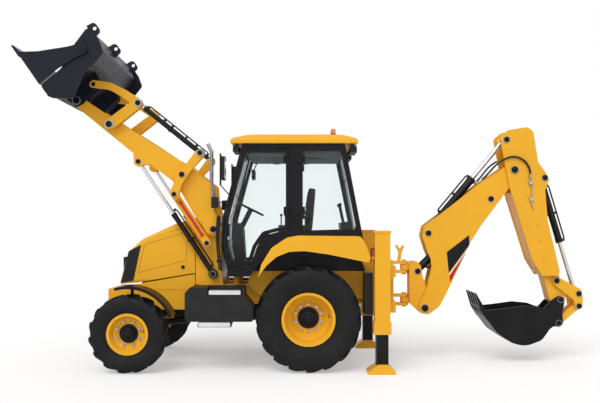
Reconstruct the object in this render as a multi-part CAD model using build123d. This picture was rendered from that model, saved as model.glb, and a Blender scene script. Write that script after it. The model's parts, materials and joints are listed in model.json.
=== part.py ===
from build123d import *
import math
import os

os.makedirs("parts", exist_ok=True)

# Backhoe loader, full size, in millimetres.
# The loader end faces -X, the backhoe end +X, left side -Y, ground at z = 0.
# Every x below is measured from the rear axle, which stands at REAR_AXLE_X.
REAR_AXLE_X = -65
WHEELBASE = 2250
RUN = 0.3  # running clearance of pins, rods and bushes
GAP = 6  # side clearance between plates that pass each other

# Wheels: tyre radius and width, middle plane's distance from the centre line, rim flange, hub and bolt circle radii
REAR_TYRE_RADIUS = 667
REAR_TYRE_WIDTH = 430
REAR_TRACK_HALF = 860
REAR_RIM_RADIUS = 337
REAR_HUB_RADIUS = 138
REAR_BOLT_CIRCLE = 172
FRONT_TYRE_RADIUS = 490
FRONT_TYRE_WIDTH = 318
FRONT_TRACK_HALF = 940
FRONT_RIM_RADIUS = 260
FRONT_HUB_RADIUS = 118
FRONT_BOLT_CIRCLE = 152
KINGPIN_Y = 780

# Loader pivots (x, z)
ARM_PIVOT = (-1241, 1794)
LIFT_BASE = (-1247, 1207)
LIFT_EYE = (-2226, 2682)
BUCKET_PIVOT = (-3029, 3475)
CRANK_PIVOT = (-1639, 2505)
CRANK_TOP = (-1403, 2784)
CRANK_FOOT = (-1740, 2249)
TOWER_LINK_PIN = (-1316, 1614)
LEVER_PIVOT = (-2582, 3157)
LEVER_TOP = (-2207, 3432)
BUCKET_LINK_PIN = (-2797, 3682)

# Backhoe pivots (x, z)
SWING_X = 1332
BOOM_PIVOT = (1596, 717)
BOOM_CYL_BASE = (1503, 1217)
BOOM_CYL_EYE = (2496, 2205)
CROWD_BASE = (1645, 1738)
CROWD_EYE = (2701, 3010)
DIPPER_PIVOT = (2809, 2600)
DIG_CYL_BASE = (3220, 2492)
ROCKER_PIVOT = (3390, 1092)
DIG_PIVOT = (3451, 832)
ROCKER_ROD_PIN = (3692, 914)
ROCKER_LINK_PIN = (3695, 746)
HITCH_PIN = (3425, 512)

# Side planes, measured outwards from the middle: plate bands of the loader linkage
HOOD_HALF = 400
TOWER_BAND = (405, 445)
ARM_BAND = (450, 530)
INNER_CHEEK = (537, 549)
OUTER_CHEEK = (619, 631)
LINK_MID = 584
# and of the backhoe
POST_BAND = (66, 118)
BOOM_BAND = (125, 150)
DIPPER_BAND = (158, 183)
ROCKER_BAND = (140, 152)
HITCH_BAND = (114, 134)
NOSE_HALF = 108

# Shortest pin distances of the cylinders, from which barrels and rods take their length
LIFT_SHORT = 1040
TILT_SHORT = 1028
BOOM_SHORT = 1330
CROWD_SHORT = 1075
DIG_SHORT = 1010
GLAND_BACK = 90
ROD_BACK = 78

# Stabilizers
STABILIZER_X = (821, 1012)
STABILIZER_Y = (885, 1075)
STABILIZER_Z = (491, 1778)
STABILIZER_WALL = 20
LEG_PLAY = 0.5


def plate(outline, y_low, y_high, radius=0):
    """Flat plate in the XZ plane; each outline point is (x, z) or (x, z, corner radius)."""
    points = [(p[0], y_low, p[1]) for p in outline]
    radii = [p[2] if len(p) > 2 else radius for p in outline]
    wire = FilletPolyline(*points, radius=radii, close=True)
    return extrude(make_face(wire), y_high - y_low, dir=(0, 1, 0))


def block(x0, x1, y0, y1, z0, z1):
    """Box between two corners."""
    return Pos((x0 + x1) / 2, (y0 + y1) / 2, (z0 + z1) / 2) * Box(x1 - x0, y1 - y0, z1 - z0)


def cross_pin(centre, radius, y_low, y_high):
    """Round bar along Y."""
    middle = Pos(centre[0], (y_low + y_high) / 2, centre[1])
    return middle * Rot(90, 0, 0) * Cylinder(radius, y_high - y_low)


def post(x, y, radius, z0, z1):
    """Round bar along Z."""
    return Pos(x, y, (z0 + z1) / 2) * Cylinder(radius, z1 - z0)


def bar(start, end, radius):
    """Round bar between two points in space."""
    a = Vector(*start)
    b = Vector(*end)
    return Plane(a, z_dir=b - a) * Pos(0, 0, (b - a).length / 2) * Cylinder(radius, (b - a).length)


def pipe_run(points, radius, bend):
    """Pipe through points in space with rounded bends."""
    path = FilletPolyline(*points, radius=bend)
    return sweep(Plane(path @ 0, z_dir=path % 0) * Circle(radius), path=path)


def mirrored(shape):
    """The same piece on the other side of the machine."""
    return mirror(shape, about=Plane.XZ)


def pair(shape):
    """Left and right piece together."""
    return shape + mirrored(shape)


def along(start, end, distance):
    """Point at a distance from start towards end, both (x, z)."""
    length = math.dist(start, end)
    share = distance / length
    return (start[0] + (end[0] - start[0]) * share, start[1] + (end[1] - start[1]) * share)


def save(node, shape):
    """Write one node, moved to the machine's origin."""
    solids = [Pos(REAR_AXLE_X, 0, 0) * s for s in shape.solids()]
    export_step(solids[0] if len(solids) == 1 else Compound(solids), f"parts/{node}.step")


def barrel(base, eye, y_mid, radius, rod_radius, short, base_pin, width, neck=45):
    """Cylinder barrel: pinned eye at its base, neck between the fork's cheeks, tube and gland collar."""
    start = along(base, eye, base_pin + neck)
    gland = along(base, eye, short - GLAND_BACK)
    collar = along(base, eye, short - GLAND_BACK - 60)
    floor_at = along(base, eye, base_pin + neck + 20)
    tube = bar((start[0], y_mid, start[1]), (gland[0], y_mid, gland[1]), radius - 4)
    tube += bar((collar[0], y_mid, collar[1]), (gland[0], y_mid, gland[1]), radius)
    tube += bar((base[0], y_mid, base[1]), (floor_at[0], y_mid, floor_at[1]), min(radius - 4, width / 2 - 1))
    tube += cross_pin(base, base_pin + 26, y_mid - width / 2, y_mid + width / 2)
    tube -= cross_pin(base, base_pin + RUN, y_mid - width, y_mid + width)
    beyond = along(base, eye, short)
    tube -= bar((floor_at[0], y_mid, floor_at[1]), (beyond[0], y_mid, beyond[1]), rod_radius + RUN)
    return tube


def rod(base, eye, y_mid, rod_radius, short, eye_pin, width):
    """Cylinder rod with its eye; its inner end stays in the barrel over the whole stroke."""
    start = along(eye, base, short - ROD_BACK - eye_pin - 65)
    neck = along(eye, base, eye_pin + 8)
    shaft = bar((start[0], y_mid, start[1]), (neck[0], y_mid, neck[1]), rod_radius)
    shaft += cross_pin(eye, eye_pin + 24, y_mid - width / 2, y_mid + width / 2)
    return shaft - cross_pin(eye, eye_pin + RUN, y_mid - width, y_mid + width)


# Chassis: rails, nose, loader towers, rear frame and stabilizer tubes
RAIL_BAND = (300, 380)
REAR_FRAME_X = 1050
RAIL_OUTLINE = [(-2640, 860), (-2640, 1000), (-1500, 1000), (-1380, 1060), (-800, 1060), (-700, 1000),
                (REAR_FRAME_X, 1000), (REAR_FRAME_X, 800), (-1200, 800), (-1500, 725), (-2000, 725), (-2100, 800),
                (-2400, 800)]
TOWER_OUTLINE = [(-1480, 810), (-1395, 1300), (-1400, 1660), (-1335, 1850, 60), (-1235, 1890, 60),
                 (-1160, 1840, 50), (-1150, 1250), (-1080, 810)]
ARM_PIN_RADIUS = 40
LINK_PIN_RADIUS = 30
BIG_PIN_RADIUS = 35
BEAM_X = (1012, 1100)
ENGINE_SEAT = 880
COWL_SEAT = 1060
CAB_SEATS = ((-950, 1060, 1184), (545, 990, 1440))
UPPER_BEAM_Z = (1190, 1330)
LOWER_BEAM_Z = (745, 885)


def stabilizer_tube():
    x0, x1 = STABILIZER_X
    y0, y1 = STABILIZER_Y
    z0, z1 = STABILIZER_Z
    wall = STABILIZER_WALL
    tube = block(x0, x1, y0, y1, z0, z1)
    tube += block(x0 - 12, x1 + 12, y0 - 12, y1 + 12, z0, z0 + 150)
    tube += block(x0 - 10, x1 + 10, y0 - 10, y1 + 10, z1 - 30, z1)
    return tube - block(x0 + wall, x1 - wall, y0 + wall, y1 - wall, z0 - 1, z1 - wall)


def chassis():
    rail = plate(RAIL_OUTLINE, *RAIL_BAND)
    tower = plate(TOWER_OUTLINE, *TOWER_BAND)
    tower += block(-1440, -1120, RAIL_BAND[1] - 5, TOWER_BAND[0] + 5, 815, COWL_SEAT)
    tower += cross_pin(ARM_PIVOT, ARM_PIN_RADIUS, TOWER_BAND[0], ARM_BAND[1] + 16)
    tower += cross_pin(LIFT_BASE, BIG_PIN_RADIUS, TOWER_BAND[0], ARM_BAND[1] + 6)
    tower += cross_pin(TOWER_LINK_PIN, LINK_PIN_RADIUS, TOWER_BAND[0], OUTER_CHEEK[1])
    body = pair(rail + tower)
    body += block(-2657, -2480, -380, 380, 850, 1000)
    for x0, x1, z0, z1 in ((-1440, -1340, 830, 930), (-640, -560, 830, 930), (620, 700, 830, 980),
                           (-2210, -2150, 820, ENGINE_SEAT), (-1650, -1590, 820, ENGINE_SEAT)):
        body += block(x0, x1, -310, 310, z0, z1)
    # Front axle saddle: two cross plates that hold the axle's pivot pin
    for x in (-WHEELBASE - 130, -WHEELBASE + 110):
        body += block(x, x + 20, -310, 310, 585, 810)
    body += Pos(-WHEELBASE, 0, 490) * Rot(0, 90, 0) * Cylinder(28, 250)
    for x in (-WHEELBASE - 130, -WHEELBASE + 110):
        body += block(x, x + 20, -90, 90, 430, 600)
    # Rear axle brackets down from the rails
    for x in (-150, 130):
        body += pair(block(x, x + 20, RAIL_BAND[0], RAIL_BAND[1], 640, 810))
    # Cab mounts on the rails
    for x, z0, z1 in CAB_SEATS:
        body += pair(post(x, (RAIL_BAND[0] + RAIL_BAND[1]) / 2, 38, z0 - 5, z1))
    # Rear frame: end plates, upper and lower slide beams, stabilizer tubes
    y_in = STABILIZER_Y[0]
    body += block(REAR_FRAME_X - 40, REAR_FRAME_X - 10, -y_in - 5, y_in + 5, LOWER_BEAM_Z[0], UPPER_BEAM_Z[1])
    body -= pair(block(REAR_FRAME_X - 80, REAR_FRAME_X + 5, 90, y_in - 60, LOWER_BEAM_Z[1] + 40, UPPER_BEAM_Z[0] - 40))
    for z0, z1 in (UPPER_BEAM_Z, LOWER_BEAM_Z):
        body += block(BEAM_X[0], BEAM_X[1], -y_in - 30, y_in + 30, z0, z1)
    body += pair(stabilizer_tube())
    # Side plates between rails and tubes
    body += pair(block(660, REAR_FRAME_X - 20, RAIL_BAND[0], RAIL_BAND[1], 990, 1330))
    for z0, z1 in (UPPER_BEAM_Z, LOWER_BEAM_Z):
        body -= pair(block(STABILIZER_X[0] + STABILIZER_WALL, STABILIZER_X[1] - STABILIZER_WALL,
                           STABILIZER_Y[0] + STABILIZER_WALL, STABILIZER_Y[1] - STABILIZER_WALL, z0, z1))
    return body


save("frame", chassis())

# Rear axle with gearbox: casing, trumpets, hub flanges; front axle beam, knuckles and track rod
REAR_DISH = -95  # wheel disc, outwards from the wheel's middle plane
FRONT_DISH = 0
DRIVE_Y = -160
FRONT_AXLE_Z = FRONT_TYRE_RADIUS
REAR_AXLE_Z = REAR_TYRE_RADIUS
SPINDLE_RADIUS = 55
KNUCKLE_ARM = 185
KNUCKLE_EYE = 34


def rear_axle():
    casing = Pos(0, 0, REAR_AXLE_Z) * Sphere(215)
    casing += cross_pin((0, REAR_AXLE_Z), 95, -560, 560)
    casing += block(-430, 0, -150, 150, 520, 800)
    casing += block(-1000, -430, -190, 190, 560, 820)
    for side in (-1, 1):
        casing += cross_pin((0, REAR_AXLE_Z), 150, *sorted((side * 540, side * 600)))
        casing += cross_pin((0, REAR_AXLE_Z), SPINDLE_RADIUS, *sorted((side * 590, side * (REAR_TRACK_HALF + REAR_DISH + 5))))
        casing += block(-130, 130, *sorted((side * (RAIL_BAND[0] + 5), side * (RAIL_BAND[1] - 5))), 640, 800)
    casing += bar((-990, DRIVE_Y, 650), (-1990, DRIVE_Y, FRONT_AXLE_Z + 30), 42)
    return casing


def front_axle():
    z = FRONT_AXLE_Z
    beam = plate([(-WHEELBASE - 75, z - 70, 20), (-WHEELBASE - 75, z + 60, 20), (-WHEELBASE + 75, z + 60, 20),
                  (-WHEELBASE + 75, z - 70, 20)], -610, 610)
    beam += Pos(-WHEELBASE, 0, z) * Rot(0, 90, 0) * Cylinder(105, 216)
    beam -= Pos(-WHEELBASE, 0, z) * Rot(0, 90, 0) * Cylinder(28 + RUN, 400)
    beam += bar((-WHEELBASE + 60, DRIVE_Y, z), (-WHEELBASE + 250, DRIVE_Y, z + 28), 62)
    for side in (-1, 1):
        y = side * KINGPIN_Y
        arm_y = sorted((side * 600, side * (KINGPIN_Y - 62)))
        beam += block(-WHEELBASE - 60, -WHEELBASE + 60, *arm_y, z - 150, z + 150)
        for z0, z1 in ((z + 92, z + 150), (z - 150, z - 92)):
            ear = sorted((side * (KINGPIN_Y - 70), y))
            beam += block(-WHEELBASE - 55, -WHEELBASE + 55, *ear, z0, z1)
            beam += post(-WHEELBASE, y, 55, z0, z1)
        beam -= post(-WHEELBASE, y, 28 + RUN, z - 200, z + 200)
    # Steering cylinder across the back of the beam
    beam += bar((-WHEELBASE + KNUCKLE_ARM, -260, z + 20), (-WHEELBASE + KNUCKLE_ARM, 260, z + 20), 42)
    for y in (-200, 160):
        beam += block(-WHEELBASE + 60, -WHEELBASE + KNUCKLE_ARM, y, y + 40, z - 20, z + 60)
    return beam - bar((-WHEELBASE + KNUCKLE_ARM, -400, z + 20), (-WHEELBASE + KNUCKLE_ARM, 400, z + 20), 20 + RUN)


def knuckle():
    """Left knuckle with its spindle, steering arm and the mudguard that turns with it."""
    z = FRONT_AXLE_Z
    y = -KINGPIN_Y
    body = post(-WHEELBASE, y, 52, z - 88, z + 88)
    body += post(-WHEELBASE, y, 28, z - 160, z + 160)
    body += post(-WHEELBASE, y, 48, z + 152, z + 168)
    body += cross_pin((-WHEELBASE, z), SPINDLE_RADIUS, -(FRONT_TRACK_HALF + FRONT_DISH + 5), y)
    body += block(-WHEELBASE, -WHEELBASE + KNUCKLE_ARM, y - 34, y + 8, z - 5, z + 45)
    body += post(-WHEELBASE + KNUCKLE_ARM, y, KNUCKLE_EYE, z - 5, z + 45)
    return body


GUARD_OUTER = FRONT_TYRE_RADIUS + 108
GUARD_INNER = FRONT_TYRE_RADIUS + 94
GUARD_FRONT_ANGLE = 106
GUARD_BACK_ANGLE = 22


def mudguard():
    """Thin arched guard over the left front tyre, with its stay down to the knuckle."""
    z = FRONT_AXLE_Z
    y_out = -(FRONT_TRACK_HALF + 120)
    ring = cross_pin((-WHEELBASE, z), GUARD_OUTER, y_out, -KINGPIN_Y + 18)
    ring -= cross_pin((-WHEELBASE, z), GUARD_INNER, y_out + 14, -KINGPIN_Y + 4)
    ring -= cross_pin((-WHEELBASE, z), GUARD_INNER - 22, y_out - 10, 0)
    reach = GUARD_OUTER * 2
    front = math.radians(GUARD_FRONT_ANGLE)
    back = math.radians(GUARD_BACK_ANGLE)
    middle = (front + back) / 2
    wedge = plate([(-WHEELBASE, z), (-WHEELBASE + reach * math.cos(front), z + reach * math.sin(front)),
                   (-WHEELBASE + reach * math.cos(middle), z + reach * math.sin(middle)),
                   (-WHEELBASE + reach * math.cos(back), z + reach * math.sin(back))], y_out - 20, 0)
    guard = ring & wedge
    stay_y = -KINGPIN_Y + 6
    guard += block(-WHEELBASE - 20, -WHEELBASE + 20, stay_y, stay_y + 12, z + 168, z + GUARD_INNER - 10)
    return guard + block(-WHEELBASE - 20, -WHEELBASE + 20, stay_y, -KINGPIN_Y + 30, z + 168, z + 180)


save("rear_axle", rear_axle())
save("front_axle", front_axle())
left_knuckle = knuckle() + mudguard()
save("knuckle_left", left_knuckle)
save("knuckle_right", mirrored(left_knuckle))
tie_x = -WHEELBASE + KNUCKLE_ARM
tie_z = FRONT_AXLE_Z + 20
tie_end = KINGPIN_Y - KNUCKLE_EYE - GAP
steering_rod = bar((tie_x, -tie_end, tie_z), (tie_x, tie_end, tie_z), 20)
save("steering_rod", steering_rod)

# Wheels and tyres, turned about Y; profiles are (radius, distance from the wheel's middle plane outwards)
RIM_SHARE = 0.72  # rim width in parts of the tyre's width
FLANGE_HEIGHT = 32
FLANGE_FOOT = 22
BEAD_STEP = 4
RIM_FIT = 0.5


def wheel(axle, side, mid, radius, width, rim, hub, bolt_circle, bolts, dish):
    """Rim with flanges, dished disc, hub with its nuts."""
    bead = rim - FLANGE_HEIGHT
    half = width / 2
    rim_half = half * RIM_SHARE
    rim_profile = [(bead, -rim_half), (rim, -rim_half), (rim, -rim_half + 14),
                   (bead + BEAD_STEP, -rim_half + FLANGE_FOOT), (bead - 22, -rim_half * 0.4),
                   (bead - 22, rim_half * 0.3), (bead + BEAD_STEP, rim_half - FLANGE_FOOT), (rim, rim_half - 14),
                   (rim, rim_half), (bead, rim_half), (bead - 14, rim_half - 24), (bead - 38, rim_half * 0.3),
                   (hub + 46, dish + 26), (hub + 20, dish + 12), (hub - 10, dish + 12),
                   (SPINDLE_RADIUS + RUN, dish + 12), (SPINDLE_RADIUS + RUN, dish - 6), (hub + 26, dish - 6),
                   (bead - 38, -rim_half * 0.2)]
    face = make_face(Polyline(*[(r, y, 0) for r, y in rim_profile], close=True))
    turned = revolve(face, Axis.Y)
    turned += Pos(0, dish + 40, 0) * Rot(90, 0, 0) * Cylinder(hub * 0.62, 62)
    turned += Pos(0, dish + 18, 0) * Rot(90, 0, 0) * Cylinder(hub, 14)
    for k in range(bolts):
        a = math.tau * (k + 0.5) / bolts
        nut = Rot(90, 0, 0) * Cylinder(13, 20)
        turned += Pos(bolt_circle * math.cos(a), dish + 24, bolt_circle * math.sin(a)) * nut
    turned -= Pos(0, dish - 40, 0) * Rot(90, 0, 0) * Cylinder(SPINDLE_RADIUS + RUN, 96)
    return Pos(axle[0], side * mid, axle[1]) * (turned if side > 0 else mirror(turned, about=Plane.XZ))


TYRE_SIDES = 26
LUG_SLANT = 36


def ring_section(y, inradius):
    """Regular polygon across the wheel's axis, given by its inner radius."""
    return Plane((0, y, 0), x_dir=(1, 0, 0), z_dir=(0, -1, 0)) * RegularPolygon(inradius, TYRE_SIDES, major_radius=False)


def tyre(axle, side, mid, radius, width, rim, lug_count, lug_width, lug_height):
    """Faceted carcass with dished sidewalls, and slanted lugs in two staggered rows."""
    bead = rim - FLANGE_HEIGHT
    half = width / 2
    flank = rim + (radius - rim) * 0.5
    base = radius - lug_height
    seat = half * RIM_SHARE - FLANGE_FOOT - RIM_FIT
    right = [(half * 0.86, base), (half, flank)]
    rings = [(-y, r) for y, r in reversed(right)] + right
    carcass = loft([ring_section(y, r) for y, r in rings], ruled=True)
    for outward in (-1, 1):
        carcass -= loft([ring_section(outward * (half + 1), flank), ring_section(outward * seat, rim + 2)], ruled=True)
    carcass -= extrude(ring_section(half + 5, bead + BEAD_STEP + RIM_FIT), width + 10)
    # Lugs run from beside the middle line out over the shoulder; their top corners reach the tyre's radius
    slant = math.radians(LUG_SLANT)
    length = (half * 0.95 - 12) / math.cos(slant) - lug_width * math.tan(slant)
    reach = length / 2 * math.sin(slant) + lug_width / 2 * math.cos(slant)
    top = math.sqrt(radius ** 2 - reach ** 2)
    lugs = []
    for outward in (-1, 1):
        for k in range(lug_count):
            turn = 360 / lug_count * (k + 0.25 + 0.25 * outward)
            lug = Rot(0, 0, outward * LUG_SLANT) * Box(lug_width, length, lug_height * 2)
            lugs.append(Rot(0, turn, 0) * Pos(0, outward * (half * 0.95 + 12) / 2, top - lug_height) * lug)
    return Pos(axle[0], side * mid, axle[1]) * (carcass + lugs)


REAR = (REAR_TRACK_HALF, REAR_TYRE_RADIUS, REAR_TYRE_WIDTH, REAR_RIM_RADIUS)
FRONT = (FRONT_TRACK_HALF, FRONT_TYRE_RADIUS, FRONT_TYRE_WIDTH, FRONT_RIM_RADIUS)
# Lugs in a row, lug width, lug height
REAR_LUGS = (18, 70, 38)
FRONT_LUGS = (15, 56, 30)
for side_name, side in (("left", -1), ("right", 1)):
    rear_centre = (0, REAR_AXLE_Z)
    front_centre = (-WHEELBASE, FRONT_AXLE_Z)
    save(f"wheel_rear_{side_name}", wheel(rear_centre, side, *REAR, REAR_HUB_RADIUS, REAR_BOLT_CIRCLE, 10, REAR_DISH))
    save(f"tyre_rear_{side_name}", tyre(rear_centre, side, *REAR, *REAR_LUGS))
    save(f"wheel_front_{side_name}", wheel(front_centre, side, *FRONT, FRONT_HUB_RADIUS, FRONT_BOLT_CIRCLE, 8, FRONT_DISH))
    save(f"tyre_front_{side_name}", tyre(front_centre, side, *FRONT, *FRONT_LUGS))

# Engine, bonnet with grilles, fixed body panels, exhaust
HOOD_TOP = [(-2515, 1060, 30), (-2388, 1500, 60), (-2201, 1663, 120), (-1764, 1866, 300), (-1500, 1945)]
HOOD_FOOT = [(-1500, 1210), (-1596, 1199), (-2328, 1073)]
HOOD_WALL = 22
HOOD_HINGE = (-1512, 1934)
HINGE_Y = 270
SEAM = 8
HOOD_PIN = 7


def hood():
    outer = plate(HOOD_TOP + HOOD_FOOT, -HOOD_HALF, HOOD_HALF)
    rims = [e for e in outer.edges() if abs(abs(e.center().Y) - HOOD_HALF) < 1 and e.center().Z > 1500]
    outer = fillet([e for e in rims if e.center().X < -1520], 45)
    w = HOOD_WALL
    inner = [(-2515 + w, 1000), (-2388 + w, 1500 - w, 40), (-2201 + w / 2, 1663 - w, 100),
             (-1764 + w / 2, 1866 - w, 280), (-1400, 1945 - w + 30), (-1400, 1000)]
    shell = outer - plate(inner, -HOOD_HALF + w, HOOD_HALF - w)
    for side in (-1, 1):
        shell -= grille_space(side, RUN)
    shell -= block(-2600, -2300, -288 - RUN, 288 + RUN, 1132 - RUN, 1418 + RUN)
    # Notches in the rear edge, with the hinge ears standing in them
    shell -= pair(block(-1548, -1480, HINGE_Y - 28, HINGE_Y + 28, 1880, 1990))
    ear = plate([(-1640, 1880), (-1560, 1880), (-1502, 1920, 8), (-1502, 1946, 8), (-1530, 1946, 8), (-1562, 1915)],
                HINGE_Y - 20, HINGE_Y - 2)
    ear -= cross_pin(HOOD_HINGE, HOOD_PIN + RUN, HINGE_Y - 30, HINGE_Y + 10)
    return shell + pair(ear)


GRILLE_SIDE = [(-2385, 1500), (-2215, 1590), (-2318, 1110), (-2490, 1075)]


def grille_space(side, grow):
    reach = sorted((side * (HOOD_HALF - HOOD_WALL - 30), side * (HOOD_HALF + 30)))
    return slab(GRILLE_SIDE, *reach, grow)


def hood_grilles():
    """Black louvred side grilles and the front grille, each with its bars."""
    parts = Part()
    for side in (-1, 1):
        y = sorted((side * (HOOD_HALF - HOOD_WALL - 6), side * (HOOD_HALF - 4)))
        panel = plate(GRILLE_SIDE, *y)
        slots = 9
        for k in range(slots):
            z = 1130 + k * 46
            slot_y = sorted((side * (HOOD_HALF - 14), side * (HOOD_HALF + 5)))
            lean = (z - 1110) * 0.24
            panel -= block(-2445 + lean, -2340 + lean, *slot_y, z, z + 22)
        parts += panel
    front = block(-2478, -2440, -288, 288, 1132, 1418)
    for k in range(6):
        front -= block(-2490, -2460, -270, 270, 1150 + k * 44, 1150 + k * 44 + 24)
    return parts + front


ENGINE_X = (-2240, -1560)
ENGINE_Z = (ENGINE_SEAT, 1540)


def engine():
    return block(*ENGINE_X, -240, 240, *ENGINE_Z)


COWL = [(-1492, COWL_SEAT), (-1492, 1946), (-1400, 1970, 60), (-1180, 1990, 20), (-1150, 1700), (-1150, COWL_SEAT)]


def body_panels():
    """Fixed cowl behind the bonnet and the two rear fenders."""
    cowl = plate(COWL, -HOOD_HALF, HOOD_HALF)
    cowl -= post(-1360, 250, 60 + SEAM, 1800, 2100)
    cowl -= plate([(-1520, 1040), (-1520, 1920), (-1180, 1960), (-1172, 1040)], -HOOD_HALF + 20, HOOD_HALF - 20)
    ear = plate([(-1524, 1922, 8), (-1470, 1922), (-1470, 1946), (-1524, 1946, 8)], HINGE_Y, HINGE_Y + 18)
    ear += cross_pin(HOOD_HINGE, HOOD_PIN, HINGE_Y - 24, HINGE_Y + 18)
    fender_outer = [(-627, 1200), (-587, 1359, 80), (-461, 1563, 120), (-271, 1690, 120), (-128, 1715, 60),
                    (647, 1706, 40), (710, 1612, 60), (773, 1437, 20), (742, 1382), (236, 1485, 200),
                    (-49, 1525, 200), (-239, 1516, 120), (-397, 1453, 120), (-524, 1343, 60)]
    inner = [(-560, 1150), (-560, 1350, 60), (-445, 1540, 110), (-265, 1664, 120), (-128, 1690, 50),
             (635, 1682, 30), (690, 1600, 50), (748, 1437), (748, 1150)]
    fender = plate(fender_outer, FENDER_Y[0], FENDER_Y[1])
    fender -= plate(inner, FENDER_Y[0] + 20, FENDER_Y[1] - 20)
    return cowl + pair(ear) + pair(fender)


def exhaust():
    """Stack from the back of the engine up through the cowl, with its silencer and cut end."""
    x = -1360
    y = 250
    elbow = [(ENGINE_X[1] + RUN, y, 1480), (x, y, 1480), (x, y, 1700)]
    pipe = pipe_run(elbow, 45, 90) + post(x, y, 28, 1640, 2900)
    pipe += Pos(x, y, 2890) * Rot(0, -25, 0) * Pos(0, 0, 60) * Cylinder(28, 120)
    pipe += post(x, y, 60, 1990, 2350)
    return pipe


# Cab: hollow shell with windows, roof, doors, glass, seat and controls
CAB_HALF = 720
FENDER_Y = (CAB_HALF, 1050)
CAB_WALL = 45
CAB_TOP_Z = 2896
CAB_SIDE = [(-1015, 1184), (-1121, 1570, 40), (-1105, 1931, 60), (-851, CAB_TOP_Z), (470, CAB_TOP_Z), (707, 1669, 30),
            (670, 1440), (-560, 1440), (-760, 1184)]
DOOR = [(-1055, 1325, 30), (-1092, 1570, 30), (-1070, 1931, 60), (-830, 2830, 40), (-240, 2830, 20), (-240, 1765),
        (-400, 1765, 30), (-560, 1722, 30), (-620, 1640, 20), (-672, 1560, 40), (-712, 1430, 40), (-770, 1325, 20)]
DOOR_FRAME = 48
REAR_SIDE_WINDOW = [(-70, 1770, 40), (-70, 2800, 40), (418, 2800, 40), (620, 1790, 40)]
PANE = 6


def scaled_face(outline, y, amount):
    """Outline grown or shrunk sideways by an amount, as a flat face at y."""
    points = [(p[0], y, p[1]) for p in outline]
    radii = [p[2] if len(p) > 2 else 0 for p in outline]
    face = make_face(FilletPolyline(*points, radius=radii, close=True))
    return offset(face, amount, kind=Kind.INTERSECTION) if amount else face


def slab(outline, y_low, y_high, amount):
    return extrude(scaled_face(outline, y_low, amount), y_high - y_low, dir=(0, 1, 0))


def cab():
    w = CAB_WALL
    shell = plate(CAB_SIDE, -CAB_HALF, CAB_HALF)
    inner = [(-985, 1184 + w), (-1072, 1570, 30), (-1058, 1931, 50), (-812, 2930), (430, 2930), (655, 1669, 20),
             (630, 1440 + w), (-590, 1440 + w), (-785, 1184 + w)]
    shell -= plate(inner, -CAB_HALF + w, CAB_HALF - w)
    for side in (-1, 1):
        y = sorted((side * (CAB_HALF - w - 10), side * (CAB_HALF + 10)))
        shell -= slab(DOOR, *y, 7)
        shell -= plate(REAR_SIDE_WINDOW, *y)
    # Windscreen, sloped, and rear window
    shell -= plate([(-1200, 1640), (-1040, 1640), (-1040, 1935), (-830, 2790), (-1200, 2790)],
                   -CAB_HALF + 75, CAB_HALF - 75)
    shell -= plate([(440, 2790), (420, 2790), (590, 1900), (590, 1560), (900, 1560), (900, 2790)],
                   -CAB_HALF + 75, CAB_HALF - 75)
    shell -= plate([(-1200, 1280), (-1000, 1280), (-1040, 1580), (-1200, 1580)], 430, CAB_HALF - 75)
    shell -= plate([(-1200, 1280), (-1000, 1280), (-1040, 1580), (-1200, 1580)], -CAB_HALF + 75, -430)
    for z in (1990, 2730):
        shell += pair(block(-215, -150, CAB_HALF - 2, CAB_HALF + 22, z - 35, z + 35))
    return shell


def cab_roof():
    top = plate([(-1005, CAB_TOP_Z, 12), (-985, 2960, 40), (-780, 3010, 120), (-200, 3040, 600), (450, 3010, 300),
                 (630, 2955, 60), (642, CAB_TOP_Z, 12)], -770, 770)
    across = [(-770, CAB_TOP_Z, 8), (-770, 2960, 50), (-690, 3020, 90), (0, 3046, 2000), (690, 3020, 90), (770, 2960, 50),
              (770, CAB_TOP_Z, 8)]
    wire = FilletPolyline(*[(-1100, y, z) for y, z, _ in across], radius=[r for _, _, r in across], close=True)
    return top & extrude(make_face(wire), 1800, dir=(1, 0, 0))


def door():
    """Left door: frame with its window cut, hinge leaves and handle."""
    y0 = -CAB_HALF
    y1 = -CAB_HALF + CAB_WALL
    leaf = slab(DOOR, y0, y1, 0) - slab(DOOR, y0 - 5, y1 + 5, -DOOR_FRAME)
    for z in (1990, 2730):
        leaf += block(-300, -241, y0 - 14, y0 + 2, z - 22, z + 22)
        leaf += block(-250, -241, y0 - 24, y0 + 2, z - 22, z + 22)
    leaf += block(-1046, -1006, y0 - 32, y0 - 20, 1700, 1860)
    for z in (1700, 1848):
        leaf += block(-1046, -1006, y0 - 30, y0 + 2, z, z + 12)
    return leaf


def door_glass():
    return slab(DOOR, -CAB_HALF + 18, -CAB_HALF + 18 + PANE, -DOOR_FRAME)


def cab_glass():
    panes = pair(plate(REAR_SIDE_WINDOW, CAB_HALF - 24, CAB_HALF - 24 + PANE))
    panes += plate([(-1102, 1640), (-1102 + PANE, 1640), (-1088 + PANE, 1931), (-866 + PANE, 2790), (-866, 2790),
                    (-1088, 1931)], -CAB_HALF + 75, CAB_HALF - 75)
    panes += plate([(472, 2790), (472 + PANE, 2790), (662 + PANE, 1800), (672, 1560), (672 - PANE, 1560),
                    (662, 1800)], -CAB_HALF + 75, CAB_HALF - 75)
    return panes


FLOOR_Z = 1184 + CAB_WALL
REAR_FLOOR_Z = 1440 + CAB_WALL
SEAT_X = -190


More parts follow.
